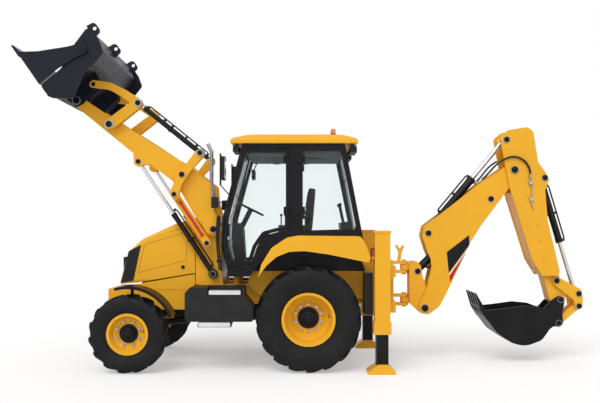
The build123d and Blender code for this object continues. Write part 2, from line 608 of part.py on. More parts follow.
def cab_interior():
    """Front console with steering column and wheel, backhoe console, seat pedestal and lever stacks."""
    z = FLOOR_Z
    console = plate([(-960, z), (-1030, 1560), (-1010, 1850), (-920, 1880), (-880, 1780), (-850, z)], -170, 170)
    column_foot = (-930, 0, 1780)
    column_head = (-790, 0, 2060)
    console += bar(column_foot, column_head, 35)
    axis = (Vector(*column_head) - Vector(*column_foot)).normalized()
    wheel_plane = Plane(Vector(*column_head), z_dir=axis)
    console += wheel_plane * Pos(0, 0, 10) * Torus(185, 14)
    for angle in (90, 210, 330):
        console += wheel_plane * Pos(0, 0, 8) * Rot(0, 0, angle) * Pos(90, 0, 0) * Box(190, 26, 12)
    console += wheel_plane * Cylinder(45, 24)
    side = block(-420, 60, 480, 600, REAR_FLOOR_Z, 1850)
    for x in (-380, -320, -260):
        side += post(x, 540, 9, 1840, 1990)
        side += Pos(x, 540, 1995) * Sphere(20)
    rear = plate([(470, REAR_FLOOR_Z), (440, 1880), (560, 1900), (600, REAR_FLOOR_Z)], -280, 280)
    for y in (-200, -120, 120, 200):
        rear += bar((495, y, 1870), (440, y, 2120), 9)
        rear += Pos(438, y, 2125) * Sphere(24)
    pedestal = post(SEAT_X, 0, 170, REAR_FLOOR_Z, 1560)
    return Part() + [console, side, rear, pedestal]


def seat():
    """Swivelling operator's seat: base plate, cushion, backrest and armrests."""
    x = SEAT_X
    base = post(x, 0, 165, 1560 + RUN, 1600)
    base += block(x - 200, x + 230, -215, 215, 1590, 1660)
    cushion = plate([(x - 270, 1650, 30), (x - 275, 1772, 50), (x + 230, 1772), (x + 230, 1650)], -250, 250)
    back = plate([(x + 130, 1740), (x + 190, 2080, 80), (x + 215, 2360, 30), (x + 290, 2370, 30),
                  (x + 320, 2080, 80), (x + 280, 1700, 20), (x + 170, 1700)], -235, 235)
    chair = base + cushion + back
    arm = plate([(x - 120, 1930), (x - 120, 1975), (x + 240, 1975), (x + 240, 1930)], 260, 315)
    arm += block(x + 215, x + 236, 200, 270, 1938, 1967)
    return chair + pair(arm)


save("engine", engine())
save("hood", hood())
save("hood_grilles", hood_grilles())
save("body_panels", body_panels())
save("exhaust", exhaust())
save("cab", cab())
save("cab_roof", cab_roof())
save("cab_glass", cab_glass())
save("cab_interior", cab_interior())
save("seat", seat())
left_door = door()
left_glass = door_glass()
save("door_left", left_door)
save("door_right", mirrored(left_door))
save("door_left_glass", left_glass)
save("door_right_glass", mirrored(left_glass))

# Side boxes with their steps, lamps, mirrors


def side_boxes():
    """Black battery box and tank beside the frame, with step plates; boxes behind the rear wheels."""
    y0, y1 = RAIL_BAND[1], 1000
    box = plate([(-1545, 680, 30), (-1545, 1000, 40), (-1480, 1070, 30), (-800, 1070, 20), (-800, 960), (-690, 820, 40),
                 (-690, 640, 30), (-1500, 640, 20)], 620, y1)
    box -= block(-1260, -830, 820, y1 + 5, 975, 1100)
    step = block(-1252, -837, 840, y1 + 10, 975, 1025)
    low = block(-1380, -965, 860, y1 + 25, 576, 626) + pair_x(block(-1375, -1340, 700, 880, 590, 660), -1172)
    bracket = block(-1300, -1240, TOWER_BAND[1], 625, 850, 950) + block(-900, -840, y0, 625, 850, 950)
    rear = block(713, 815, 560, 882, 715, 1244)
    rear += block(730, 790, y0, 565, 820, 960)
    return pair(box + step + low + bracket) + pair(rear)


def pair_x(shape, middle_x):
    """The same piece also on the other side of a plane across the machine."""
    return shape + mirror(shape, about=Plane.YZ.offset(middle_x))


def lamps_and_mirrors():
    """Work lamps on the cab corners, beacon, rear lamps, and mirrors on their arms."""
    items = Part()
    # Front corner lamp, mirror arm and head
    lamp = block(-1250, -1165, 560, 700, 2070, 2210)
    lamp += block(-1046, -1024, CAB_HALF, CAB_HALF + 14, 2105, 2175)
    lamp += bar((-1190, CAB_HALF + 8, 2140), (-1030, CAB_HALF + 8, 2140), 7) + block(-1200, -1180, 650, 735, 2130, 2150)
    arm = block(-1022, -1000, CAB_HALF, CAB_HALF + 14, 2195, 2265)
    arm += bar((-1011, CAB_HALF + 8, 2230), (-1120, 790, 2360), 7) + bar((-1120, 790, 2350), (-1120, 790, 2760), 12)
    head = block(-1100, -1060, 700, 870, 2420, 2720) + block(-1125, -1090, 770, 810, 2560, 2600)
    items += pair(lamp + arm + head)
    # Roof lamps front and rear
    for y in (380, 620):
        items += pair(block(-970, -900, y - 70, y + 70, 2790, 2875)
                      + block(-945, -925, y - 12, y + 12, 2870, CAB_TOP_Z))
        items += pair(block(545, 625, y - 70, y + 70, 2780, 2870) + block(575, 595, y - 12, y + 12, 2865, CAB_TOP_Z))
    base_z = 3034
    items += post(340, -250, 42, base_z - 16, base_z + 40)
    # Rear lamps on the stabilizer tubes and front reflectors on the nose
    items += pair(block(STABILIZER_X[0] - 40, STABILIZER_X[0], 930, 1030, 1400, 1560))
    return items


save("side_boxes", side_boxes())
save("lamps_and_mirrors", lamps_and_mirrors())

# Loader: arms with cross tube, lift cylinders, crank and lever linkage, bucket with its jaw
ARM_OUTLINE = [(-3086, 3438, 30), (-3060, 3536, 40), (-2985, 3531, 20), (-2551, 3240, 60), (-2223, 3038, 200),
               (-1820, 2770), (-1619, 2667, 60), (-1515, 2579, 60), (-1282, 2392, 60), (-1270, 2173, 80),
               (-1222, 2010, 60), (-1160, 1900, 40), (-1150, 1760, 60), (-1235, 1704, 60), (-1330, 1745, 60),
               (-1400, 1860, 60), (-1485, 1967, 80), (-1661, 2274, 80), (-1781, 2429, 60), (-2079, 2649, 40),
               (-2170, 2630, 30), (-2226, 2612, 40), (-2285, 2645, 40), (-2290, 2790, 30)]
EYE_SLOT = (ARM_BAND[0] + 12, ARM_BAND[1] - 12)  # cheeks of 12 each side
FORK_MID = (ARM_BAND[0] + ARM_BAND[1]) / 2
LIFT_PIN = 28
ARM_CROSS_TUBE = 70


def loader_arms():
    arm = plate(ARM_OUTLINE, *ARM_BAND)
    arm += cross_pin(LEVER_PIVOT, 62, ARM_BAND[0], ARM_BAND[1] + 4)
    arm -= cross_pin(ARM_PIVOT, ARM_PIN_RADIUS + RUN, 400, 560)
    arm -= cross_pin(LEVER_PIVOT, BIG_PIN_RADIUS + RUN, ARM_BAND[1] - 60, 560)
    arm -= cross_pin(BUCKET_PIVOT, BIG_PIN_RADIUS + RUN, 400, 560)
    # Fork for the lift cylinder's eye, with stub pins in its cheeks
    slot = plate([(-2340, 2560), (-2320, 2720), (-2180, 2745), (-2050, 2665), (-1900, 2540), (-2000, 2440)], *EYE_SLOT)
    arm -= slot
    for y0, y1 in ((ARM_BAND[0], EYE_SLOT[0] + 2), (EYE_SLOT[1] - 2, ARM_BAND[1] + 4)):
        arm += cross_pin(LIFT_EYE, LIFT_PIN, y0, y1)
    arm += cross_pin(CRANK_PIVOT, BIG_PIN_RADIUS, ARM_BAND[1] - 30, OUTER_CHEEK[1] + 6)
    arms = pair(arm)
    tube_at = along(LEVER_PIVOT, CRANK_PIVOT, 138)
    return arms + cross_pin(tube_at, ARM_CROSS_TUBE, -ARM_BAND[0] - 5, ARM_BAND[0] + 5)


def cheeks(outline, holes, pins, stubs=()):
    """Two matching plates of the linkage with bores, through pins and stub pins."""
    shape = plate(outline, *INNER_CHEEK) + plate(outline, *OUTER_CHEEK)
    for centre, radius in pins:
        shape += cross_pin(centre, radius, INNER_CHEEK[0], OUTER_CHEEK[1] + 5)
    for centre, radius in holes:
        shape -= cross_pin(centre, radius, INNER_CHEEK[0] - 5, OUTER_CHEEK[1] + 10)
    for centre, radius in stubs:
        shape += cross_pin(centre, radius, INNER_CHEEK[0], INNER_CHEEK[1] + 2)
        shape += cross_pin(centre, radius, OUTER_CHEEK[0] - 2, OUTER_CHEEK[1] + 5)
    return shape


LINK_INNER = INNER_CHEEK[1] + GAP
LINK_OUTER = OUTER_CHEEK[0] - GAP
CRANK_OUTLINE = [(-1455, 2815, 30), (-1370, 2840, 40), (-1345, 2755, 40), (-1490, 2600, 120), (-1575, 2480, 60),
                 (-1640, 2380, 120), (-1690, 2215, 40), (-1755, 2190, 40), (-1800, 2260, 40), (-1735, 2420, 120),
                 (-1690, 2540, 60), (-1600, 2620, 120)]
LEVER_OUTLINE = [(-2245, 3480, 30), (-2165, 3480, 40), (-2150, 3400, 40), (-2300, 3280, 200), (-2440, 3170, 200),
                 (-2545, 3095, 40), (-2625, 3110, 40), (-2640, 3190, 40), (-2540, 3270, 200), (-2380, 3390, 200)]
EYE_RING = 52
PIN_CAP = 12


def bell_cranks():
    crank = cheeks(CRANK_OUTLINE, [(CRANK_PIVOT, BIG_PIN_RADIUS + RUN)], [], [(CRANK_FOOT, LINK_PIN_RADIUS)])
    crank -= cross_pin(CRANK_TOP, LINK_PIN_RADIUS + RUN, 500, 660)
    sleeve = cross_pin(CRANK_PIVOT, BIG_PIN_RADIUS + 22, INNER_CHEEK[0], OUTER_CHEEK[1])
    sleeve -= cross_pin(CRANK_PIVOT, BIG_PIN_RADIUS + RUN, 500, 660)
    return pair(crank + sleeve)


def levelling_links():
    """Channel-shaped link from the tower to the crank's foot."""
    a, b = TOWER_LINK_PIN, CRANK_FOOT
    angle = math.degrees(math.atan2(b[1] - a[1], b[0] - a[0]))
    length = math.dist(a, b)
    link = Pos(length / 2, LINK_MID, 0) * Box(length, LINK_OUTER - LINK_INNER, 96)
    link -= Pos(length / 2, LINK_MID + 12, 0) * Box(length - 150, LINK_OUTER - LINK_INNER, 72)
    for x in (0, length):
        link += Pos(x, LINK_MID, 0) * Rot(90, 0, 0) * Cylinder(EYE_RING, LINK_OUTER - LINK_INNER)
        link -= Pos(x, LINK_MID, 0) * Rot(90, 0, 0) * Cylinder(LINK_PIN_RADIUS + RUN, 100)
    placed = Pos(a[0], 0, a[1]) * Rot(0, -angle, 0) * link
    return pair(placed)


def tilt_levers():
    lever = cheeks(LEVER_OUTLINE, [(LEVER_PIVOT, BIG_PIN_RADIUS + RUN), (LEVER_TOP, LINK_PIN_RADIUS + RUN)], [])
    sleeve = cross_pin(LEVER_PIVOT, BIG_PIN_RADIUS + 20, INNER_CHEEK[0], OUTER_CHEEK[1])
    sleeve -= cross_pin(LEVER_PIVOT, BIG_PIN_RADIUS + RUN, 500, 660)
    return pair(lever + sleeve)


ROD_EYE_BAND = (556, 580)
BUCKET_LINK_BAND = (588, 612)
BUCKET_LINK = [(-2843, 3700, 30), (-2800, 3735, 30), (-2560, 3700, 300), (-2360, 3600, 200), (-2165, 3475, 30),
               (-2155, 3405, 30), (-2235, 3385, 30), (-2400, 3500, 200), (-2580, 3610, 300), (-2770, 3632, 30),
               (-2840, 3640, 30)]


def bucket_links():
    link = plate(BUCKET_LINK, *BUCKET_LINK_BAND)
    link -= cross_pin(LEVER_TOP, LINK_PIN_RADIUS + RUN, 500, 660)
    return pair(link - cross_pin(BUCKET_LINK_PIN, LINK_PIN_RADIUS + RUN, 500, 660))


def pin_cap(centre, radius, side_y):
    """Round cap on a pin's outer end, beside the plate that ends at side_y."""
    return cross_pin(centre, radius, side_y + RUN, side_y + RUN + PIN_CAP)


def lever_pins():
    pin = cross_pin(LEVER_PIVOT, BIG_PIN_RADIUS, ARM_BAND[1] - 58, OUTER_CHEEK[1] + PIN_CAP)
    return pair(pin + pin_cap(LEVER_PIVOT, 60, OUTER_CHEEK[1]))


def link_pins():
    """Stub pins that leave the rod's eye between them free."""
    return pair(cross_pin(LEVER_TOP, LINK_PIN_RADIUS, INNER_CHEEK[0], INNER_CHEEK[1] + 2)
                + cross_pin(LEVER_TOP, LINK_PIN_RADIUS, ROD_EYE_BAND[1] + 4, OUTER_CHEEK[1] + PIN_CAP)
                + pin_cap(LEVER_TOP, 50, OUTER_CHEEK[1]))


def tilt_pins():
    pin = cross_pin(CRANK_TOP, LINK_PIN_RADIUS, INNER_CHEEK[0], OUTER_CHEEK[1] + PIN_CAP)
    return pair(pin + pin_cap(CRANK_TOP, 46, OUTER_CHEEK[1]))


def bucket_pins():
    pin = cross_pin(BUCKET_PIVOT, BIG_PIN_RADIUS, BUCKET_EARS[0][0], BUCKET_EARS[1][1] + PIN_CAP)
    return pair(pin + pin_cap(BUCKET_PIVOT, 60, BUCKET_EARS[1][1]))


def tilt_rod():
    shaft = rod(CRANK_TOP, LEVER_TOP, LINK_MID, 21, TILT_SHORT, 42, 10)
    ring = cross_pin(LEVER_TOP, 56, *ROD_EYE_BAND) - cross_pin(LEVER_TOP, LINK_PIN_RADIUS + RUN, 500, 660)
    tip = along(LEVER_TOP, CRANK_TOP, 88)
    tongue = bar((LEVER_TOP[0], LINK_MID, LEVER_TOP[1]), (tip[0], LINK_MID, tip[1]), 24)
    tongue &= cross_pin(LEVER_TOP, 200, *ROD_EYE_BAND)
    tongue -= cross_pin(LEVER_TOP, LINK_PIN_RADIUS + RUN, 500, 660)
    return pair((shaft - cross_pin(LEVER_TOP, 70, 500, 660)) + ring + tongue)


save("loader_arms", loader_arms())
save("lift_barrels", pair(barrel(LIFT_BASE, LIFT_EYE, FORK_MID, 38, 23, LIFT_SHORT, BIG_PIN_RADIUS, 66)))
save("lift_rods", pair(rod(LIFT_BASE, LIFT_EYE, FORK_MID, 23, LIFT_SHORT, LIFT_PIN, 50)))
save("bell_cranks", bell_cranks())
save("levelling_links", levelling_links())
save("tilt_barrels", pair(barrel(CRANK_TOP, LEVER_TOP, LINK_MID, 36, 21, TILT_SHORT, LINK_PIN_RADIUS, 60, 60)))
save("tilt_rods", tilt_rod())
save("tilt_levers", tilt_levers())
save("bucket_links", bucket_links())
save("lever_pins", lever_pins())
save("link_pins", link_pins())
save("tilt_pins", tilt_pins())

# Loader bucket, drawn level: u runs back along the floor from the cutting edge, v up; it is stored rolled back
EDGE_TIP = (-3638, 4049)
BUCKET_ROLL = 55.27
BUCKET_HALF = 1138
JAW_BAND = (BUCKET_HALF - 16, BUCKET_HALF)
BACK_BAND = (BUCKET_HALF - 42, BUCKET_HALF - 26)
BUCKET_EARS = ((427, 443), (537, 549))
LINK_EAR_END = BUCKET_LINK_BAND[0] - GAP
FLOOR_PLATE = 22
JAW_PIVOT = (512, 683)
JAW_PIN = 32


def level(u, v):
    """Point of the level bucket in the stored, rolled-back place."""
    a = math.radians(BUCKET_ROLL)
    return (EDGE_TIP[0] + u * math.cos(a) + v * math.sin(a), EDGE_TIP[1] - u * math.sin(a) + v * math.cos(a))


def rolled(outline, y0, y1):
    return plate([(*level(p[0], p[1]), p[2] if len(p) > 2 else 0) for p in outline], y0, y1)


BACK_SIDE = [(585, 30), (746, 0, 20), (804, 39, 60), (941, 230, 30), (930, 265, 30), (728, 592, 60), (758, 656, 60),
             (694, 873, 60), (530, 914, 30), (391, 910, 20), (345, 886, 10), (335, 850, 10), (405, 640, 60),
             (560, 330, 200)]
MOULDBOARD = [(600, 2), (708, 2, 10), (706, 120, 200), (690, 420, 300), (640, 660, 200), (560, 850, 60),
              (345, 893, 10), (340, 875), (540, 828, 60), (618, 650, 200), (668, 416, 300), (684, 120, 200),
              (682, 24), (600, 24)]
EAR_OUTLINE = [(664, 60, 10), (800, 100, 60), (890, 120, 50), (900, 230, 60), (850, 420, 120), (842, 530, 50),
               (760, 560, 40), (640, 600, 10), (640, 420)]
JAW_SIDE = [(0, 0), (108, 28), (231, 216), (393, 552, 60), (446, 700, 60), (480, 750, 40), (550, 750, 40),
            (585, 690, 40), (560, 560, 60), (545, 300, 200), (570, 0)]
LIFT_EYES_Y = (-1050, 0, 1050)
LIFT_EYE_RADIUS = 26
LIFT_EYE_PLATE = 30


def loader_bucket():
    body = rolled(MOULDBOARD, -BACK_BAND[1], BACK_BAND[1])
    body += pair(rolled(BACK_SIDE, *BACK_BAND))
    for y0, y1 in BUCKET_EARS:
        body += pair(rolled(EAR_OUTLINE, y0, y1))
    pivot = level(*JAW_PIVOT)
    body += pair(cross_pin(pivot, JAW_PIN, BACK_BAND[0], JAW_BAND[1] + 8))
    body += pair(cross_pin(BUCKET_LINK_PIN, LINK_PIN_RADIUS, BUCKET_EARS[1][0], LINK_EAR_END))
    body -= pair(cross_pin(BUCKET_PIVOT, BIG_PIN_RADIUS + RUN, 380, 600))
    for y in LIFT_EYES_Y:
        half = LIFT_EYE_PLATE / 2
        eye = rolled([(290, 880), (300, 990, 50), (440, 990, 50), (470, 850)], y - half, y + half)
        body += eye - cross_pin(level(369, 945), LIFT_EYE_RADIUS, y - 40, y + 40)
    return body


def bucket_jaw():
    jaw = rolled([(0, 0), (0, 10), (60, FLOOR_PLATE), (570, FLOOR_PLATE), (570, 0)], -JAW_BAND[1], JAW_BAND[1])
    jaw += rolled([(-12, -14), (-12, 0), (0, 12), (150, 12), (150, -14)], -JAW_BAND[1], JAW_BAND[1])
    jaw += pair(rolled(JAW_SIDE, *JAW_BAND))
    for y in (-760, -380, 0, 380, 760):
        jaw += rolled([(150, -26), (150, 5), (560, 5), (560, -10)], y - 12, y + 12)
    return jaw - pair(cross_pin(level(*JAW_PIVOT), JAW_PIN + RUN, BACK_BAND[1] + 5, JAW_BAND[1] + 30))


save("bucket_pins", bucket_pins())
save("loader_bucket", loader_bucket())
save("bucket_jaw", bucket_jaw())

# Backhoe: side-shift carriage, swing post, boom, dipper, cylinders, rocker, push link, bucket
CARRIAGE_HALF = 290
SWING_PIN = 32
LUG_RADIUS = 54
UPPER_LUGS = ((1312, 1352), (1188, 1228))
LOWER_LUGS = ((862, 902), (742, 782))
LUG_GAP = 6
SLIDE_PLAY = 0.5


def lug(z0, z1, radius):
    return block(1150, SWING_X, -radius, radius, z0, z1) + post(SWING_X, 0, radius, z0, z1)


def sideshift_carriage():
    x0 = BEAM_X[1] + SLIDE_PLAY
    body = block(x0, x0 + 50, -CARRIAGE_HALF, CARRIAGE_HALF, LOWER_BEAM_Z[0] - 45, UPPER_BEAM_Z[1] + 45)
    body -= block(x0 - 5, x0 + 60, -150, 150, 935, 1150)
    for z0, z1 in ((UPPER_BEAM_Z[1] + SLIDE_PLAY, UPPER_BEAM_Z[1] + 45), (LOWER_BEAM_Z[0] - 45, LOWER_BEAM_Z[0] - SLIDE_PLAY)):
        body += block(BEAM_X[1] - 38, x0 + 5, -CARRIAGE_HALF, CARRIAGE_HALF, z0, z1)
    for z0, z1 in UPPER_LUGS + LOWER_LUGS:
        body += lug(z0, z1, LUG_RADIUS)
    for z0, z1 in ((LOWER_LUGS[1][0] - 18, LOWER_LUGS[0][1] + 20), (UPPER_LUGS[1][0] - 18, UPPER_LUGS[0][1] + 20)):
        body += post(SWING_X, 0, SWING_PIN, z0, z1)
    return body


POST_OUTLINE = [(1392, 1300, 20), (1420, 1352, 20), (1500, 1352, 30), (1545, 1290, 40), (1572, 1150, 120),
                (1628, 975, 120), (1672, 780, 60), (1668, 665, 60), (1560, 630, 60), (1450, 735, 40), (1392, 775, 20)]
BOOM_PIN_RADIUS = 42


def swing_post():
    cheek = plate(POST_OUTLINE, *POST_BAND)
    body = pair(cheek)
    body += block(1400, 1440, -POST_BAND[0] - 5, POST_BAND[0] + 5, 780, 1320)
    for (top0, _), (_, low1) in (UPPER_LUGS, LOWER_LUGS):
        z0 = low1 + LUG_GAP
        z1 = top0 - LUG_GAP
        body += post(SWING_X, 0, LUG_RADIUS, z0, z1) + block(SWING_X, 1410, -LUG_RADIUS, LUG_RADIUS, z0, z1)
        body -= post(SWING_X, 0, SWING_PIN + RUN, z0 - 10, z1 + 10)
    body += cross_pin(BOOM_PIVOT, BOOM_PIN_RADIUS, -BOOM_BAND[1] - 8, BOOM_BAND[1] + 8)
    body += cross_pin(BOOM_CYL_BASE, BIG_PIN_RADIUS, -POST_BAND[1] - 3, POST_BAND[1] + 3)
    return body


BOOM_OUTLINE = [(2905, 2520, 90), (2905, 2700, 90), (2740, 2690, 60), (2634, 2607, 60), (2350, 2423, 300),
                (1852, 2032, 200), (1590, 1836, 60), (1563, 1701, 50), (1629, 1496, 80), (1674, 1388, 120),
                (1688, 1270, 200), (1621, 984, 200), (1513, 752, 60), (1530, 655, 60), (1640, 625, 80),
                (1794, 736, 160), (1909, 959, 300), (2221, 1620, 400), (2372, 1858, 200), (2763, 2379, 80)]
BOOM_EYE_STUB = 52


def boom():
    body = pair(plate(BOOM_OUTLINE, *BOOM_BAND))
    inner = BOOM_BAND[0] + 5
    top_web = plate([(1990, 1990), (2170, 2165), (2182, 2149), (2002, 1974)], -inner, inner)
    top_web += plate([(2480, 2450), (2620, 2540), (2632, 2524), (2492, 2434)], -inner, inner)
    low_web = plate([(1925, 1080), (2190, 1628, 300), (2345, 1872, 200), (2660, 2292), (2676, 2280), (2361, 1860, 200),
                     (2208, 1620, 300), (1943, 1072)], -inner, inner)
    body += top_web + low_web
    body -= cross_pin(BOOM_PIVOT, BOOM_PIN_RADIUS + RUN, -200, 200)
    body += cross_pin(DIPPER_PIVOT, BOOM_PIN_RADIUS, -DIPPER_BAND[1] - 8, DIPPER_BAND[1] + 8)
    body += cross_pin(CROWD_BASE, BIG_PIN_RADIUS, -BOOM_BAND[1] - 4, BOOM_BAND[1] + 4)
    body += pair(cross_pin(BOOM_CYL_EYE, BIG_PIN_RADIUS, BOOM_EYE_STUB, BOOM_BAND[1] + 4))
    return body


DIPPER_OUTLINE = [(2610, 3051, 60), (2723, 3140, 100), (2983, 3182, 80), (3065, 3120, 60), (3130, 2705, 60),
                  (3243, 2549, 40), (3280, 2462, 40), (3225, 2330, 60), (3260, 1908, 300), (3425, 1215),
                  (3400, 1160, 20), (3185, 1160, 10), (3053, 1374), (2740, 2375), (2690, 2640, 200)]
NOSE_OUTLINE = [(3175, 1420), (3225, 1140), (3318, 800, 40), (3400, 765, 40), (3500, 770, 50), (3520, 850, 60),
                (3455, 1120, 60), (3430, 1180, 30), (3360, 1420)]


def dipper():
    body = pair(plate(DIPPER_OUTLINE, *DIPPER_BAND))
    inner = DIPPER_BAND[0] + 5
    front = plate([(2772, 2290), (3062, 1374), (3190, 1172), (3206, 1172), (3080, 1380), (2790, 2290)], -inner, inner)
    back = plate([(3215, 2320), (3250, 1905), (3410, 1215), (3394, 1212), (3234, 1900), (3198, 2320)], -inner, inner)
    cap = plate([(2990, 3160), (3052, 3100), (3110, 2730), (3092, 2726), (3034, 3092), (2975, 3140)], -inner, inner)
    body += front + back + cap
    body += plate(NOSE_OUTLINE, -NOSE_HALF, NOSE_HALF)
    body += plate([(3150, 1200), (3135, 1245), (3400, 1245), (3395, 1200)], -inner, inner)
    body -= cross_pin(DIPPER_PIVOT, BOOM_PIN_RADIUS + RUN, -250, 250)
    body += pair(cross_pin(CROWD_EYE, BIG_PIN_RADIUS, BOOM_EYE_STUB, DIPPER_BAND[1] + 4))
    body += cross_pin(DIG_CYL_BASE, BIG_PIN_RADIUS, -DIPPER_BAND[1] - 4, DIPPER_BAND[1] + 4)
    body += cross_pin(ROCKER_PIVOT, BIG_PIN_RADIUS, -ROCKER_BAND[1] - 4, ROCKER_BAND[1] + 4)
    body += cross_pin(DIG_PIVOT, BIG_PIN_RADIUS, -HITCH_BAND[1] - 6, HITCH_BAND[1] + 6)
    return body


def rocker():
    outline = [(3330, 1110, 40), (3380, 1152, 40), (3450, 1120, 60), (3730, 970, 50), (3750, 860, 60), (3745, 710, 40),
               (3650, 700, 40), (3630, 830, 60), (3350, 1040, 40)]
    body = pair(plate(outline, *ROCKER_BAND))
    body -= cross_pin(ROCKER_PIVOT, BIG_PIN_RADIUS + RUN, -200, 200)
    body += cross_pin(ROCKER_LINK_PIN, BIG_PIN_RADIUS, -ROCKER_BAND[1] - 4, ROCKER_BAND[1] + 4)
    return body + pair(cross_pin(ROCKER_ROD_PIN, BIG_PIN_RADIUS, BOOM_EYE_STUB, ROCKER_BAND[1] + 4))


PUSH_BAND = (62, 102)


def push_link():
    a, b = ROCKER_LINK_PIN, HITCH_PIN
    angle = math.degrees(math.atan2(b[1] - a[1], b[0] - a[0]))
    length = math.dist(a, b)
    width = PUSH_BAND[1] - PUSH_BAND[0]
    y = (PUSH_BAND[0] + PUSH_BAND[1]) / 2
    side = Pos(length / 2, y, 0) * Box(length, width, 84)
    for x in (0, length):
        side += Pos(x, y, 0) * Rot(90, 0, 0) * Cylinder(58, width)
    link = pair(side) + Pos(length / 2, 0, 0) * Box(90, 2 * PUSH_BAND[0] + 20, 50)
    for x in (0, length):
        link -= Pos(x, 0, 0) * Rot(90, 0, 0) * Cylinder(BIG_PIN_RADIUS + RUN, 400)
    return Pos(a[0], 0, a[1]) * Rot(0, -angle, 0) * link


DIG_BUCKET_HALF = 300
DIG_SIDE = 16
DIG_OUTER = [(2352, 700), (2620, 727, 60), (2909, 766, 200), (3120, 745, 40), (3245, 700, 40), (3262, 560, 60),
             (3235, 430, 100), (3140, 300, 150), (2924, 219, 300), (2740, 262, 300), (2540, 400, 200), (2420, 560)]
DIG_INNER = [(2300, 690), (2330, 760), (2620, 900), (3120, 900), (3222, 690), (3240, 560, 50), (3215, 440, 90),
             (3125, 316, 140), (2924, 237, 290), (2748, 278, 290), (2555, 412, 190), (2438, 566)]
TOOTH_COUNT = 5


def dig_bucket():
    body = plate(DIG_OUTER, -DIG_BUCKET_HALF, DIG_BUCKET_HALF)
    body -= plate(DIG_INNER, -DIG_BUCKET_HALF + DIG_SIDE, DIG_BUCKET_HALF - DIG_SIDE)
    lip = [(2300, 760), (2330, 775), (2445, 575), (2425, 550), (2390, 590)]
    body += plate(lip, -DIG_BUCKET_HALF, DIG_BUCKET_HALF)
    pitch = (2 * DIG_BUCKET_HALF - 80) / (TOOTH_COUNT - 1)
    for k in range(TOOTH_COUNT):
        y = -DIG_BUCKET_HALF + 40 + k * pitch
        body += plate([(2252, 928), (2262, 934), (2372, 740), (2402, 640), (2372, 620), (2320, 700)], y - 26, y + 26)
    hitch = [(3230, 720), (3300, 800, 60), (3440, 892, 60), (3512, 850, 50), (3500, 770, 60), (3475, 640, 200),
             (3487, 500, 50), (3440, 455, 50), (3360, 470, 60), (3180, 330, 30), (3150, 500), (3180, 700)]
    body += pair(plate(hitch, *HITCH_BAND))
    body -= plate([(3130, 760), (3200, 690), (3200, 440), (3130, 330), (2900, 300), (2900, 760)],
                  -HITCH_BAND[1] - 2, HITCH_BAND[1] + 2)
    body += pair(cross_pin(HITCH_PIN, BIG_PIN_RADIUS, PUSH_BAND[1] + GAP, HITCH_BAND[1] + 4))
    return body - pair(cross_pin(DIG_PIVOT, BIG_PIN_RADIUS + RUN, HITCH_BAND[0] - 5, HITCH_BAND[1] + 20))


def stabilizer_leg():
    x0, x1 = STABILIZER_X
    y0, y1 = STABILIZER_Y
    inset = STABILIZER_WALL + LEG_PLAY
    leg = block(x0 + inset, x1 - inset, y0 + inset, y1 - inset, 60, 1180)
    leg += plate([(731, 0, 10), (731, 36, 10), (860, 120, 20), (975, 120, 20), (1078, 36, 10), (1078, 0, 10)],
                 y0 - 30, y1 + 30)
    return leg


save("sideshift_carriage", sideshift_carriage())
save("swing_post", swing_post())
save("boom", boom())
save("boom_barrel", barrel(BOOM_CYL_BASE, BOOM_CYL_EYE, 0, 58, 32, BOOM_SHORT, BIG_PIN_RADIUS, 110))
save("boom_rod", rod(BOOM_CYL_BASE, BOOM_CYL_EYE, 0, 32, BOOM_SHORT, BIG_PIN_RADIUS, 84))
save("dipper", dipper())
save("crowd_barrel", barrel(CROWD_BASE, CROWD_EYE, 0, 58, 32, CROWD_SHORT, BIG_PIN_RADIUS, 110))
save("crowd_rod", rod(CROWD_BASE, CROWD_EYE, 0, 32, CROWD_SHORT, BIG_PIN_RADIUS, 84))
save("dig_barrel", barrel(DIG_CYL_BASE, ROCKER_ROD_PIN, 0, 50, 28, DIG_SHORT, BIG_PIN_RADIUS, 100))
save("dig_rod", rod(DIG_CYL_BASE, ROCKER_ROD_PIN, 0, 28, DIG_SHORT, BIG_PIN_RADIUS, 84))
save("rocker", rocker())
save("push_link", push_link())
save("dig_bucket", dig_bucket())
leg = stabilizer_leg()
save("stabilizer_leg_right", leg)
save("stabilizer_leg_left", mirrored(leg))
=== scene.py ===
# %% [markdown]
# # Backhoe loader: paint, rubber, glass and the small pieces
#
# The machine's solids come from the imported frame: chassis, cab, loader linkage, backhoe and wheels.
# This notebook dresses them. It gives every node a finish that varies over the surface, and adds what is
# too fine for the solids: tyre treads, wheel nuts, pin caps, pipes, seals, lamps and the seat's upholstery.

# %% Load the frame
import json
import math

import bmesh
import bpy
from mathutils import Matrix, Vector


